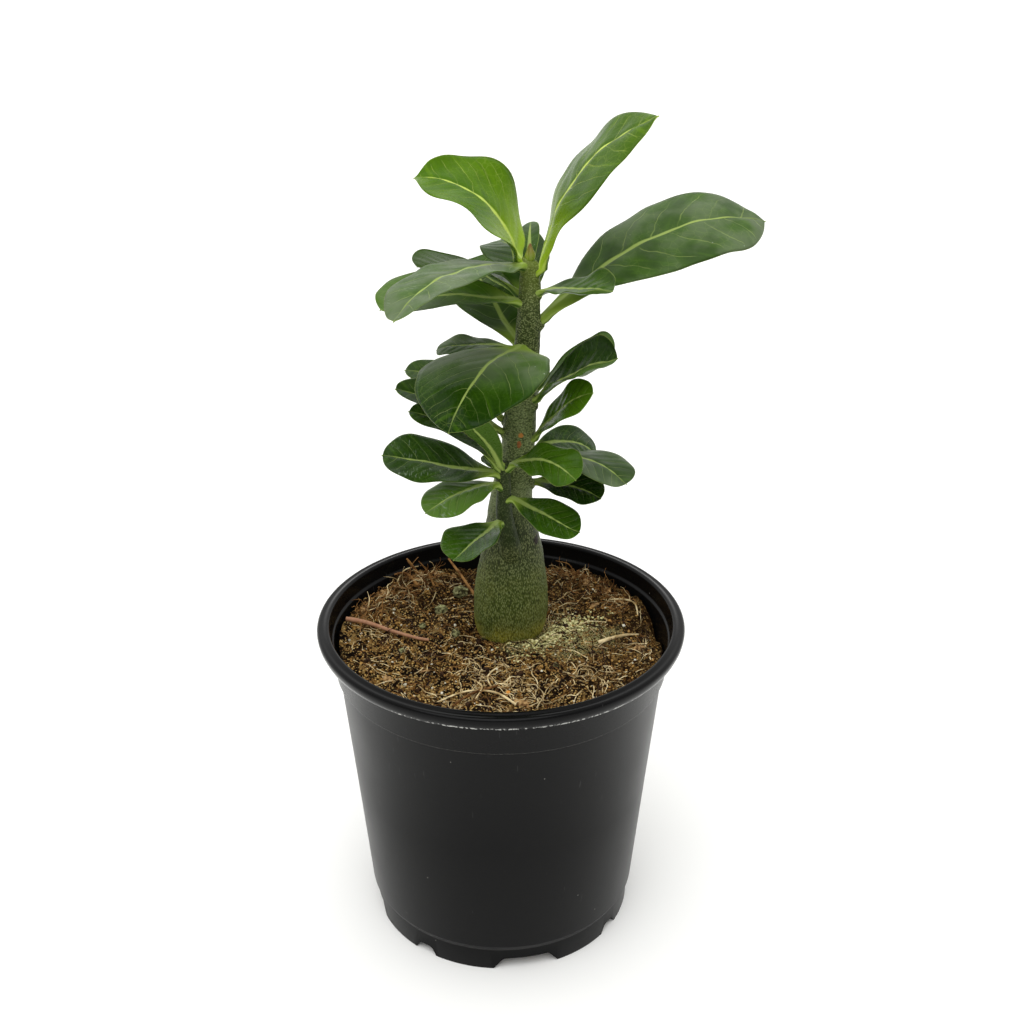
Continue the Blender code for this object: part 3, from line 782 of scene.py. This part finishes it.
def add_knob(stations, height, azimuth, size, proud):
    """A low round knob on the stem. size is its half-width in mm."""
    centre, radius = station(stations, height)
    place = (centre + heading(azimuth) * (radius - size * 0.6 + proud)) * MM
    bpy.ops.mesh.primitive_uv_sphere_add(segments=16, ring_count=10, radius=size * MM, location=place)
    return bpy.context.object


TRUNK_KNOBS = [  # height in mm, azimuth, half-width and how far it stands out in mm
    (282, -87, 2.2, 0.2), (280, 77, 2.2, 0.2), (280, -44, 2.6, 0.4), (276, 181, 1.6, 0.3),
    (258, 96, 3.0, 0.5), (270, 49, 2.2, 0.5), (266, -69, 2.4, 0.4), (268, -122, 2.2, 0.4),
    (265, -176, 2.2, 0.4), (247, -149, 2.4, 0.4), (249, -28, 2.6, 0.5), (247, -94, 1.8, 0.4),
    (231, 112, 2.4, 0.5), (226, 58, 2.4, 0.6), (218, -102, 2.2, 0.4), (214, -75, 2.2, 0.4),
    (212, 55, 2.0, 0.5), (203, 122, 2.0, 0.4), (200, 85, 2.4, 0.5), (192, 80, 2.2, 0.6),
    (194, 68, 1.5, 1.2), (213, -12, 1.9, 0.1), (240, 20, 1.6, 0.1), (222, -40, 1.5, 0.1),
]
SHOOT_KNOBS = [
    (205, -88, 1.6, 0.5), (206, -32, 1.4, 0.4), (205, 63, 1.6, 0.5), (202, -120, 1.1, 0.3),
    (201, -85, 1.8, 0.6), (197, -56, 1.6, 0.5), (192, 62, 1.7, 0.5), (182, -40, 1.8, 0.5),
    (206, 10, 1.7, 0.2),
]
stem_parts = [grow_rings("stem", stem_rings(TRUNK_STATIONS), 64)]
stem_parts.append(grow_rings("side_shoot", stem_rings(SHOOT_STATIONS), 32))
stem_parts += [add_knob(TRUNK_STATIONS, *knob) for knob in TRUNK_KNOBS]
stem_parts += [add_knob(SHOOT_STATIONS, *knob) for knob in SHOOT_KNOBS]
stem = join_pieces(stem_parts)
apply_modifier(stem, "REMESH", mode="VOXEL", voxel_size=0.42 * MM)
apply_modifier(stem, "SMOOTH", factor=0.6, iterations=7)
for name, kind, size, strength, mid_level in [
    ("slow_swelling", "CLOUDS", 7, 0.7, 0.5),
    ("bark_pebbles", "VORONOI", 1.5, -0.12, 0.3),
]:
    bumps = bpy.data.textures.new(name, kind)
    bumps.noise_scale = size * MM
    apply_modifier(stem, "DISPLACE", texture=bumps, texture_coords="LOCAL", strength=strength * MM,
                   mid_level=mid_level)
smooth_shading(stem)

bark = Finish("pebbled_bark")
height = bark.axis("Z")
low_down = bark.fade(height, 205 * MM, 165 * MM)
depth = bark.axis("Y")
dots = bark.cells(0.64, bark.stretched(bark.place, (0.8, 0.8, 1.25)))
dashes = bark.cells(0.44, bark.stretched(bark.place, (1, 1, 0.36)))
patches = bark.cloud(11, 3)
grey_green = bark.paint(bark.fade(patches, 0.35, 0.65), (0.085, 0.115, 0.034), (0.145, 0.185, 0.070))
green = bark.paint(bark.fade(patches, 0.35, 0.65), (0.064, 0.088, 0.013), (0.100, 0.120, 0.022))
bark.colour = bark.paint(bark.fade(height, 185 * MM, 150 * MM), grey_green, green)
# Painted shade: a darker band round the stem, darkest at 170 mm up
shadowy = bark.fade(bark.off(height, 170 * MM), 0, 22 * MM, 0.75, 0)
bark.coat(shadowy, (0.020, 0.028, 0.009))
bark.coat(bark.fade(height, 224 * MM, 242 * MM, 0, 0.75), (0.042, 0.060, 0.010))
blotches = bark.fade(patches, 0.38, 0.58, 0.2, 0.95)
base_tint = bark.times(bark.fade(height, 137 * MM, 126 * MM), blotches)
bark.coat(base_tint, (0.29, 0.26, 0.022))
# The side shoot stands in front of the trunk and is greener
above_fork = bark.fade(height, 168 * MM, 174 * MM)
in_front = bark.times(bark.fade(depth, 1.2 * MM, -0.4 * MM), above_fork)
bark.coat(bark.times(in_front, 0.88), (0.012, 0.024, 0.003))
pebble = bark.add("ShaderNodeMix", {0: low_down, 2: dots, 3: dashes}).outputs[0]
plain = bark.fade(in_front, 0, 1, 1.0, 0.35)
gaps = bark.times(bark.fade(pebble, 0.52, 0.84), bark.fade(low_down, 0, 1, 0.66, 0.70))
bark.coat(bark.times(gaps, plain), (0.018, 0.024, 0.007))
tops = bark.times(bark.fade(pebble, 0.52, 0.20), bark.fade(low_down, 0, 1, 0.60, 0.50))
bark.coat(bark.times(tops, plain), (0.35, 0.39, 0.17))
bark.coat(bark.fade(height, 262 * MM, 284 * MM, 0, 0.6), (0.17, 0.22, 0.035))


def scar(x, height, reach_x, reach_z, colour):
    """Paints a dry mark on the front of the stem, with a ragged edge. The reaches are half-sizes in mm."""
    spot = bark.stretched(bark.shifted(-x * MM, 0, -height * MM), (1 / reach_x, 0, 1 / reach_z))
    ragged = bark.calc("ADD", bark.reach(spot), bark.times(bark.cloud(1.1, 3), 0.0011))
    front_side = bark.fade(depth, 8 * MM, 6 * MM)
    bark.coat(bark.times(bark.fade(ragged, 0.0011, 0.0015, 0.95, 0), front_side), colour)


scar(8.0, 215.2, 1.3, 1.2, (0.50, 0.20, 0.045))
scar(7.3, 211.4, 1.1, 2.0, (0.30, 0.105, 0.030))
scar(14.2, 169.5, 1.2, 2.6, (0.020, 0.013, 0.010))
scar(-3.6, 189.5, 0.9, 1.2, (0.028, 0.018, 0.012))
bark.set(Base_Color=bark.colour, Roughness=bark.fade(patches, 0.3, 0.7, 0.46, 0.62))
bark.set(Normal=bark.relief(bark.times(pebble, -1.0), 0.26), Specular_IOR_Level=0.13)
place_piece(stem, bark, "bark", "caudex_stem")


# --------------------------------------------------------------------------- growing tip
# The bud at the top of the trunk: small fleshy scales, yellow-green with dry brown points, that
# grow close together from the end of the stem.

def bud_scale(turn, lean, length, width):
    """A pointed scale that leans out from the middle of the bud, in mm and degrees."""
    foot = Vector((11.2, TRUNK_Y, 281.6)) * MM
    bpy.ops.mesh.primitive_uv_sphere_add(segments=20, ring_count=14, radius=1)
    made = bpy.context.object
    for vertex in made.data.vertices:
        share = (vertex.co.z + 1) / 2
        narrowing = 1 - 0.55 * share ** 2.2
        x, y = vertex.co.x * width * narrowing, vertex.co.y * width * 0.62 * narrowing
        vertex.co = Vector((x, y, share * length))
        vertex.co.y -= 0.8 * math.sin(share * math.pi) * (lean > 0)
    tilt = Matrix.Rotation(math.radians(turn), 4, "Z") @ Matrix.Rotation(math.radians(lean), 4, "X")
    made.data.transform(Matrix.Translation(foot) @ tilt @ Matrix.Scale(MM, 4))
    return made


BUD_SCALES = [  # turn, lean, length and half-width
    (0, 0, 7.6, 1.7), (20, 9, 6.6, 1.6), (115, 10, 5.6, 1.5), (200, 8, 6.2, 1.6), (290, 11, 5.2, 1.5),
]
bud = join_pieces([bud_scale(*scale) for scale in BUD_SCALES])
bud.name = "bud_scales"
smooth_shading(bud)
bud_skin = Finish("bud_skin")
height = bud_skin.axis("Z")
upward = bud_skin.fade(height, 283 * MM, 288 * MM)
bud_skin.colour = bud_skin.paint(upward, (0.23, 0.31, 0.035), (0.20, 0.16, 0.030))
bud_skin.coat(bud_skin.fade(height, 287.2 * MM, 289 * MM, 0, 0.9), (0.20, 0.07, 0.02))
bud_skin.set(Base_Color=bud_skin.colour, Roughness=0.45)
bud_skin.set(Normal=bud_skin.relief(bud_skin.cloud(0.7, 2), 0.1))
place_piece(bud, bud_skin, "bud", "apical_bud")


# --------------------------------------------------------------------------- leaves
# Leathery blades on short thick stalks: each has a pale midrib that stands out below, side veins
# that run forward to the margin, and a small point. The two at the top are young and yellow-green.

LEAF_SIDES = 64
LEAF_ROWS = 58
LEAF_STEPS = 132
BLADE_SHARE = 0.99  # of the length, before the point
STALK_IN_STEM = 2.2
SIDE_VEINS = 8
VEIN_SWEEP = 0.55
VEIN_CURVE = 0.028
WAVES = 2.3  # along each margin
PUCKER = 0.10  # mm, of the swelling between veins
GROOVE_DEPTH = 0.40  # mm, along the midrib on the upper side
GROOVE_WIDTH = 1.3
SWELL = 0.9  # mm, of slow dents and rises in a blade
SWELL_SIZE = 11


def outline(share, widest, blunt):
    """Half-width of the blade, from 0 to 1, at a share of its length."""
    run = min(max(share / BLADE_SHARE, 0), 1)
    taper = blunt * widest / (1 - widest)
    return (run / widest) ** taper * ((1 - run) / (1 - widest)) ** blunt


def midrib(base, azimuth, rise, length, droop, swing, hook):
    """Points along the midrib in mm, each with its tangent and its level side direction."""
    frames = []
    place = base.copy()
    for step in range(LEAF_STEPS + 1):
        share = step / LEAF_STEPS
        level = heading(azimuth + swing * share)
        pitch = math.radians(rise - droop * share - hook * share ** 4)
        tangent = level * math.cos(pitch) + Vector((0, 0, math.sin(pitch)))
        frames.append((place.copy(), tangent, level.cross(Vector((0, 0, 1)))))
        place += tangent * (length / LEAF_STEPS)
    return frames


blank_rings = [(Vector((0, 0, row / LEAF_ROWS)), 1.0) for row in range(LEAF_ROWS + 1)]
leaf_blank = grow_rings("leaf_blank", blank_rings, LEAF_SIDES)


def vein_count(along, across, length):
    """Counts the side veins, which sweep forward from the midrib: a whole number on each."""
    away = abs(across)
    root = along - VEIN_SWEEP * away - VEIN_CURVE * away * away
    return root / length * SIDE_VEINS + (0.5 if across > 0 else 0)


def grow_leaf(name, finish, stem_stations, height, azimuth, rise, length, width, droop=0, swing=0, hook=0,
              roll=0, twist=0, cup=15, widest=0.65, blunt=0.5, ripple=0.5, tone=(0, 0.3, 0), tip_tone=None,
              curl=0, point=1.3):
    """A blade shaped on the stem. Lengths are in mm and angles in degrees.

    rise is the stalk's slope, droop and hook bend the blade down, swing turns it sideways, roll and
    twist tip it round its midrib, cup lifts its margins, ripple waves them, curl rolls up the end of
    its margin, and point is the length of its tip. tone is its share of painted shade (less than 0 is
    painted light), of painted sheen and of painted glints, and tip_tone is the same at its tip.
    """
    centre, stem_radius = station(stem_stations, height)
    stand_off = stem_radius + 0.3 + abs(math.sin(math.radians(rise)))
    base = centre + heading(azimuth) * stand_off
    root_drop = Vector((0, 0, 1.2 + math.sin(math.radians(rise))))
    root = centre + heading(azimuth) * stem_radius * 0.45 - root_drop
    frames = midrib(base, azimuth, rise, length, droop, swing, hook)
    arch = math.radians(cup) or 0.001
    stalk_half = 0.5 + width / 30
    phase = azimuth * 0.07 + height
    mesh = leaf_blank.data.copy()
    leaf = bpy.data.objects.new(name, mesh)
    bpy.context.scene.collection.objects.link(leaf)
    on_blade = mesh.attributes.new("on_blade", "FLOAT_VECTOR", "POINT")
    in_mm = mesh.attributes.new("in_mm", "FLOAT_VECTOR", "POINT")
    tones = mesh.attributes.new("tone", "FLOAT_VECTOR", "POINT")
    for index, vertex in enumerate(mesh.vertices):
        row = vertex.co.z
        turn_share = math.atan2(vertex.co.y, vertex.co.x) / math.pi
        upper = turn_share >= 0
        even = 1 - 2 * abs(turn_share)
        side_share = math.copysign(abs(even) ** 1.4, even)
        share = math.sin(row * math.pi / 2) * (1 + STALK_IN_STEM / length) - STALK_IN_STEM / length
        share = min(share, 1)
        spot = max(share, 0) * LEAF_STEPS
        step = min(int(spot), LEAF_STEPS - 1)
        place = frames[step][0].lerp(frames[step + 1][0], spot - step)
        tangent = frames[step][1].lerp(frames[step + 1][1], spot - step).normalized()
        level_side = frames[step][2]
        if share < 0:
            into_stem = -share * length / STALK_IN_STEM
            place = place.lerp(root, into_stem)
            tangent = tangent.lerp((base - root).normalized(), into_stem).normalized()
        turn = Matrix.Rotation(-math.radians(roll + twist * max(share, 0)), 3, tangent)
        side = (turn @ level_side).normalized()
        up = side.cross(tangent)
        stalk = stalk_half * (1 - max(share, 0)) ** 2
        if share < 0.08:
            stalk += 0.5 * (0.08 - share) / 0.08
        tip = 0.45 * min((1 - max(share, 0)) * length, point) + 0.05
        half = math.hypot(width / 2 * outline(share, widest, blunt), max(stalk, tip))
        half *= 1 + 0.07 * noise.noise(Vector((share * 5, math.copysign(3, side_share), phase)))
        across = half * side_share
        bowed = half * math.sin(arch * side_share) / arch
        lift = half * (1 - math.cos(arch * side_share)) / arch
        open_share = min(max((half - 2) / 6, 0), 1)
        wave = math.sin(2 * math.pi * WAVES * share + phase + (1.4 if side_share > 0 else 0))
        lift += ripple * wave * abs(side_share) ** 3 * open_share
        count = vein_count(share * length, across, length)
        lift -= PUCKER * math.cos(2 * math.pi * count) * open_share * (1 - abs(side_share) ** 4)
        lift -= GROOVE_DEPTH * math.exp(-(across / GROOVE_WIDTH) ** 2) * open_share
        bump = noise.noise(place / SWELL_SIZE + side * (across / SWELL_SIZE))
        lift += SWELL * bump * open_share
        lift += curl * max(abs(side_share) - 0.55, 0) ** 2 * half * max(share - 0.5, 0) * 4
        blade_thickness = 0.30 * (1 - side_share ** 8)
        rib = (1.25 * (1 - max(share, 0)) + 0.12) * math.exp(-(across / (1.2 - 0.5 * share)) ** 2)
        round_stalk = stalk * math.sqrt(max(1 - side_share ** 2, 0)) * (1 - open_share)
        thickness = blade_thickness + round_stalk
        if not upper:
            thickness += rib * open_share
        vertex.co = (place + side * bowed + up * (lift + (thickness if upper else -thickness) * 0.75)) * MM
        margin = half * (1 - abs(side_share))
        on_blade.data[index].vector = (share, count, 0 if upper else 1)
        in_mm.data[index].vector = (share * length, across, min(margin, (1 - share) * length + 0.3))
        tones.data[index].vector = Vector(tone).lerp(Vector(tip_tone or tone), min(max(share, 0), 1))
    face_outwards(leaf)
    smooth_shading(leaf)
    slot = "leaf_young" if finish is young else "leaf_mature"
    place_piece(leaf, finish, slot, name.replace("_blade", ""))


def leaf_finish(name, deep, bright, sunny, dark, vein, matte, base, base_end, shine):
    """Waxy leaf skin, painted along the blade's own veins.

    base is the colour of the blade next to its stalk. It has faded at that share of the length, base_end.
    """
    leaf = Finish(name)

    def three(attribute):
        source = leaf.add("ShaderNodeAttribute", attribute_name=attribute).outputs["Vector"]
        return leaf.add("ShaderNodeSeparateXYZ", {0: source}).outputs

    share, count, under = three("on_blade")
    along, across, margin = three("in_mm")
    shade, painted_sheen_share, painted_glint_share = three("tone")
    away = leaf.calc("ABSOLUTE", across)
    mottle = leaf.cloud(15, 4)
    fine = leaf.cloud(1.0, 3)
    leaf.colour = leaf.paint(leaf.fade(mottle, 0.36, 0.64), deep, bright)
    # Painted shade and painted light: a leaf's shade share mixes in the shaded colour dark, and a share
    # below 0 the sunlit colour sunny
    leaf.coat(leaf.fade(shade, 0, 1), dark)
    leaf.coat(leaf.fade(shade, 0, -1), sunny)
    leaf.coat(leaf.fade(fine, 0.35, 0.75, 0, 0.16), bright)
    # Painted light and painted shade in long marks that follow the side veins
    vein_mark_place = {"X": leaf.times(count, 4 * MM), "Y": leaf.times(away, 0.09 * MM)}
    lit_and_shaded_marks = leaf.cloud(1.6, 3, leaf.add("ShaderNodeCombineXYZ", vein_mark_place).outputs[0])
    leaf.coat(leaf.fade(lit_and_shaded_marks, 0.50, 0.72, 0, 0.35), sunny)
    leaf.coat(leaf.fade(lit_and_shaded_marks, 0.48, 0.30, 0, 0.35), dark)
    # Painted sheen: a grey reflection of the bright room, laid on as colour in soft patches
    painted_sheen = leaf.times(painted_sheen_share, leaf.fade(leaf.cloud(14, 3), 0.38, 0.62, 0.25, 1.0))
    leaf.coat(leaf.times(painted_sheen, 0.70), (0.135, 0.175, 0.095))
    # Side veins, wandering a little, some of them lost in the blade
    wander = leaf.times(leaf.calc("SUBTRACT", leaf.cloud(12, 2), 0.5), 0.9)
    wandered = leaf.calc("ADD", leaf.calc("ADD", count, wander), 0.5)
    off_vein = leaf.off(leaf.calc("FRACT", wandered), 0.5)
    side_vein = leaf.fade(off_vein, 0.004, 0.042, 1, 0)
    strong = leaf.fade(leaf.cloud(10, 3), 0.38, 0.58, 0.25, 1.0)
    side_vein = leaf.times(side_vein, leaf.fade(margin, 0.8, 5.0), strong)
    leaf.coat(leaf.times(side_vein, 0.36), vein)
    # Net of the finest veins
    net = leaf.fade(leaf.cells(3.1, feature="DISTANCE_TO_EDGE"), 0.0, 0.05, 0.10, 0)
    leaf.coat(leaf.times(net, leaf.fade(mottle, 0.45, 0.6)), vein)
    # Midrib and stalk
    rib_width = leaf.fade(share, 0.0, 0.95, 1.65, 0.36)
    rib = leaf.fade(leaf.calc("DIVIDE", away, rib_width), 0.40, 1.0, 0.90, 0)
    rib = leaf.times(rib, leaf.fade(share, 0.75, 1.0, 1.0, 0.2))
    leaf.coat(leaf.fade(share, 0.04, base_end, 0.85, 0), base)
    leaf.coat(rib, vein)
    leaf.coat(leaf.fade(margin, 0.08, 0.34, 0.55, 0), vein)
    # Pale flecks where the painted sheen lies, and painted highlights: fine glints drawn along the blade
    flecks = leaf.fade(leaf.cells(6.5), 0.025, 0.05, 0.7, 0)
    leaf.coat(leaf.times(flecks, painted_sheen_share), (0.50, 0.56, 0.46))
    glint_place = {"X": leaf.times(along, MM), "Y": leaf.times(across, 0.2 * MM)}
    glint_place = leaf.add("ShaderNodeCombineXYZ", glint_place).outputs[0]
    painted_glints = leaf.fade(leaf.cloud(0.6, 3, glint_place), 0.54, 0.64)
    painted_glints = leaf.times(painted_glints, leaf.fade(leaf.cloud(9, 2), 0.50, 0.62, 0, 0.5))
    leaf.coat(leaf.times(painted_glints, painted_glint_share), (0.26, 0.32, 0.23))
    leaf.coat(leaf.times(under, leaf.calc("SUBTRACT", 1.0, rib)), matte)
    gloss = leaf.calc("ADD", leaf.fade(fine, 0.3, 0.7, 0.24, 0.32), leaf.times(painted_sheen_share, 0.14))
    leaf.set(Base_Color=leaf.colour, Roughness=gloss, Specular_IOR_Level=shine)
    swell = leaf.calc("SUBTRACT", leaf.times(fine, 0.3), side_vein)
    leaf.set(Normal=leaf.relief(swell, 0.14))
    return leaf


# sunny and dark are lit and shaded copies of each green, for painted light and painted shade
young = leaf_finish(
    "young_leaf", deep=(0.045, 0.118, 0.0015), bright=(0.075, 0.165, 0.002), sunny=(0.135, 0.255, 0.004),
    dark=(0.048, 0.095, 0.012), vein=(0.56, 0.68, 0.14), matte=(0.10, 0.18, 0.020),
    base=(0.34, 0.50, 0.030), base_end=0.48, shine=0.06)
mature = leaf_finish(
    "mature_leaf", deep=(0.020, 0.056, 0.0025), bright=(0.038, 0.096, 0.005), sunny=(0.070, 0.160, 0.006),
    dark=(0.0080, 0.027, 0.0015), vein=(0.34, 0.44, 0.115), matte=(0.055, 0.110, 0.016),
    base=(0.25, 0.36, 0.045), base_end=0.24, shine=0.08)


def trunk_leaf(name, height, finish=mature, **shape):
    grow_leaf("leaf_" + name + "_blade", finish, TRUNK_STATIONS, height, **shape)


def shoot_leaf(name, height, **shape):
    grow_leaf("leaf_" + name + "_blade", mature, SHOOT_STATIONS, height, **shape)


# Crown of the trunk
trunk_leaf("top_left", 282, young, azimuth=-87, rise=80, length=55, width=46, droop=81, swing=-20, hook=15,
           roll=10, twist=5, cup=20, ripple=1.6, tone=(-0.2, 0, 0), widest=0.52, blunt=0.85)
trunk_leaf("top_right", 280, young, azimuth=77, rise=87, length=74.5, width=41, droop=66, swing=-5, roll=-20,
           twist=-5, cup=-10, widest=0.56, blunt=0.9, ripple=0.9, point=3, tone=(0.6, 0, 0))
trunk_leaf("top_front_left", 281, azimuth=-44, rise=17, length=79, width=31, droop=30, swing=20, hook=15,
           roll=5, twist=-20, cup=0, widest=0.55, blunt=0.62, tone=(-0.3, 1.0, 0.6), point=2.5)
trunk_leaf("top_back", 276, azimuth=181, rise=44, length=32, width=8, droop=40, swing=-5, roll=10, twist=5)
trunk_leaf("long_right", 260, azimuth=96, rise=49, length=101, width=42, droop=54, swing=20, hook=18,
           roll=-15, twist=-10, cup=-15, widest=0.64, blunt=0.62, ripple=1.0, point=2.5, tone=(0, 0.5, 0),
           tip_tone=(-0.1, 1.0, 0))
trunk_leaf("curled_right", 271, azimuth=49, rise=26, length=35, width=18, droop=30, hook=-5, roll=-10,
           twist=-5, curl=1.2, ripple=0.8, tone=(0, 0.3, 0))
trunk_leaf("upper_left", 267, azimuth=-69, rise=22, length=56, width=34, droop=35, swing=10, roll=10,
           twist=-5, cup=20, tone=(-0.9, 0.5, 0))
trunk_leaf("upper_left_back", 269, azimuth=-122, rise=31, length=46, width=29, droop=50, swing=10,
           roll=-25, twist=-5, tone=(0.3, 0.2, 0))
trunk_leaf("upper_back", 266, azimuth=-176, rise=46, length=44, width=26, droop=55, swing=25, hook=5,
           roll=5, twist=5, tone=(0.3, 0.2, 0))

# Middle of the trunk
trunk_leaf("back_left", 248, azimuth=-149, rise=33, length=55, width=32, droop=20, swing=-15, roll=5,
           twist=10, tone=(0.1, 0.4, 0))
trunk_leaf("broad_front", 250, azimuth=-28, rise=16, length=60, width=51, droop=60, hook=10, roll=-5,
           cup=-5, widest=0.52, blunt=0.7, point=5, tone=(-1.4, 2.6, 0), tip_tone=(1.2, -1.2, 0))
trunk_leaf("middle_left", 248, azimuth=-94, rise=15, length=30, width=17, droop=35, swing=-5, hook=5,
           twist=10, cup=5, widest=0.72, blunt=0.4, tone=(-0.2, 0.9, 0))
trunk_leaf("middle_right", 232, azimuth=112, rise=28, length=34, width=31, droop=25, hook=5, roll=35,
           twist=25, cup=20, tone=(0, 0.3, 0))
trunk_leaf("folded_right", 229, azimuth=58, rise=51, length=41, width=22, droop=35, swing=5, roll=-10,
           twist=-20, cup=40, curl=1.0, tone=(0.7, 0.1, 0.3))
trunk_leaf("narrow_left", 219, azimuth=-102, rise=53, length=44, width=18, droop=55, swing=5, hook=5,
           roll=10, twist=5, tone=(0.4, 0.2, 0))
trunk_leaf("narrow_left_low", 215, azimuth=-75, rise=40, length=47, width=19, droop=25, roll=15, twist=5,
           tone=(0.4, 0.2, 0))
trunk_leaf("small_right", 213, azimuth=57, rise=63, length=35, width=19, droop=36, swing=5, hook=8,
           roll=-27, twist=-10, cup=10, tone=(-0.8, 0, 0))

# Low on the trunk, to the right
trunk_leaf("low_right_back", 204, azimuth=122, rise=22, length=33, width=20, droop=75, swing=-10,
           roll=-15, twist=-15, widest=0.7, tone=(0.6, 0, 0.2))
trunk_leaf("low_right_long", 201, azimuth=85, rise=28, length=41, width=29, droop=65, swing=-35, roll=15,
           twist=-15, cup=0, blunt=0.42, tone=(0.5, 0.8, 0))
trunk_leaf("low_right", 193, azimuth=80, rise=9, length=29, width=20, droop=30, swing=-20,
           tone=(1, 0, 0.1), roll=-14)

# Side shoot
shoot_leaf("shoot_high_left", 205, azimuth=-88, rise=64, length=42, width=18, droop=60, swing=-5, roll=10,
           twist=5, tone=(0.5, 0.2, 0.2))
shoot_leaf("shoot_inner_left", 207, azimuth=-32, rise=60, length=44, width=14, droop=30, hook=-10,
           roll=-10, twist=-5, cup=10, tone=(0.3, 0.1, 0))
shoot_leaf("shoot_right", 206, azimuth=63, rise=39, length=30, width=20, droop=80, swing=-5, roll=-15,
           twist=-5, cup=10, blunt=0.45, ripple=1.4, tone=(-0.4, 0, 0))
shoot_leaf("shoot_tiny", 203, azimuth=-120, rise=35, length=8, width=8, droop=5, roll=-5)
shoot_leaf("shoot_left", 202, azimuth=-85, rise=13, length=45, width=28, swing=-5, hook=10, roll=10,
           twist=10, cup=10, tone=(0.5, 0.1, 1.0))
shoot_leaf("shoot_low_left", 198, azimuth=-56, rise=17, length=33, width=24, droop=50, swing=-5, twist=5,
           cup=-5, tone=(-0.9, 0.3, 0.9))
shoot_leaf("shoot_low_right", 192, azimuth=62, rise=-12, length=30, width=21, droop=15, swing=10,
           hook=-10, roll=-10, twist=-5, cup=10, blunt=0.55, tone=(0.2, 0, 0.3))
shoot_leaf("caudex_left", 182, azimuth=-40, rise=2, length=27, width=26, droop=33, swing=-5, roll=-5,
           cup=20, tone=(0, 0, 0.3))
bpy.data.objects.remove(leaf_blank)
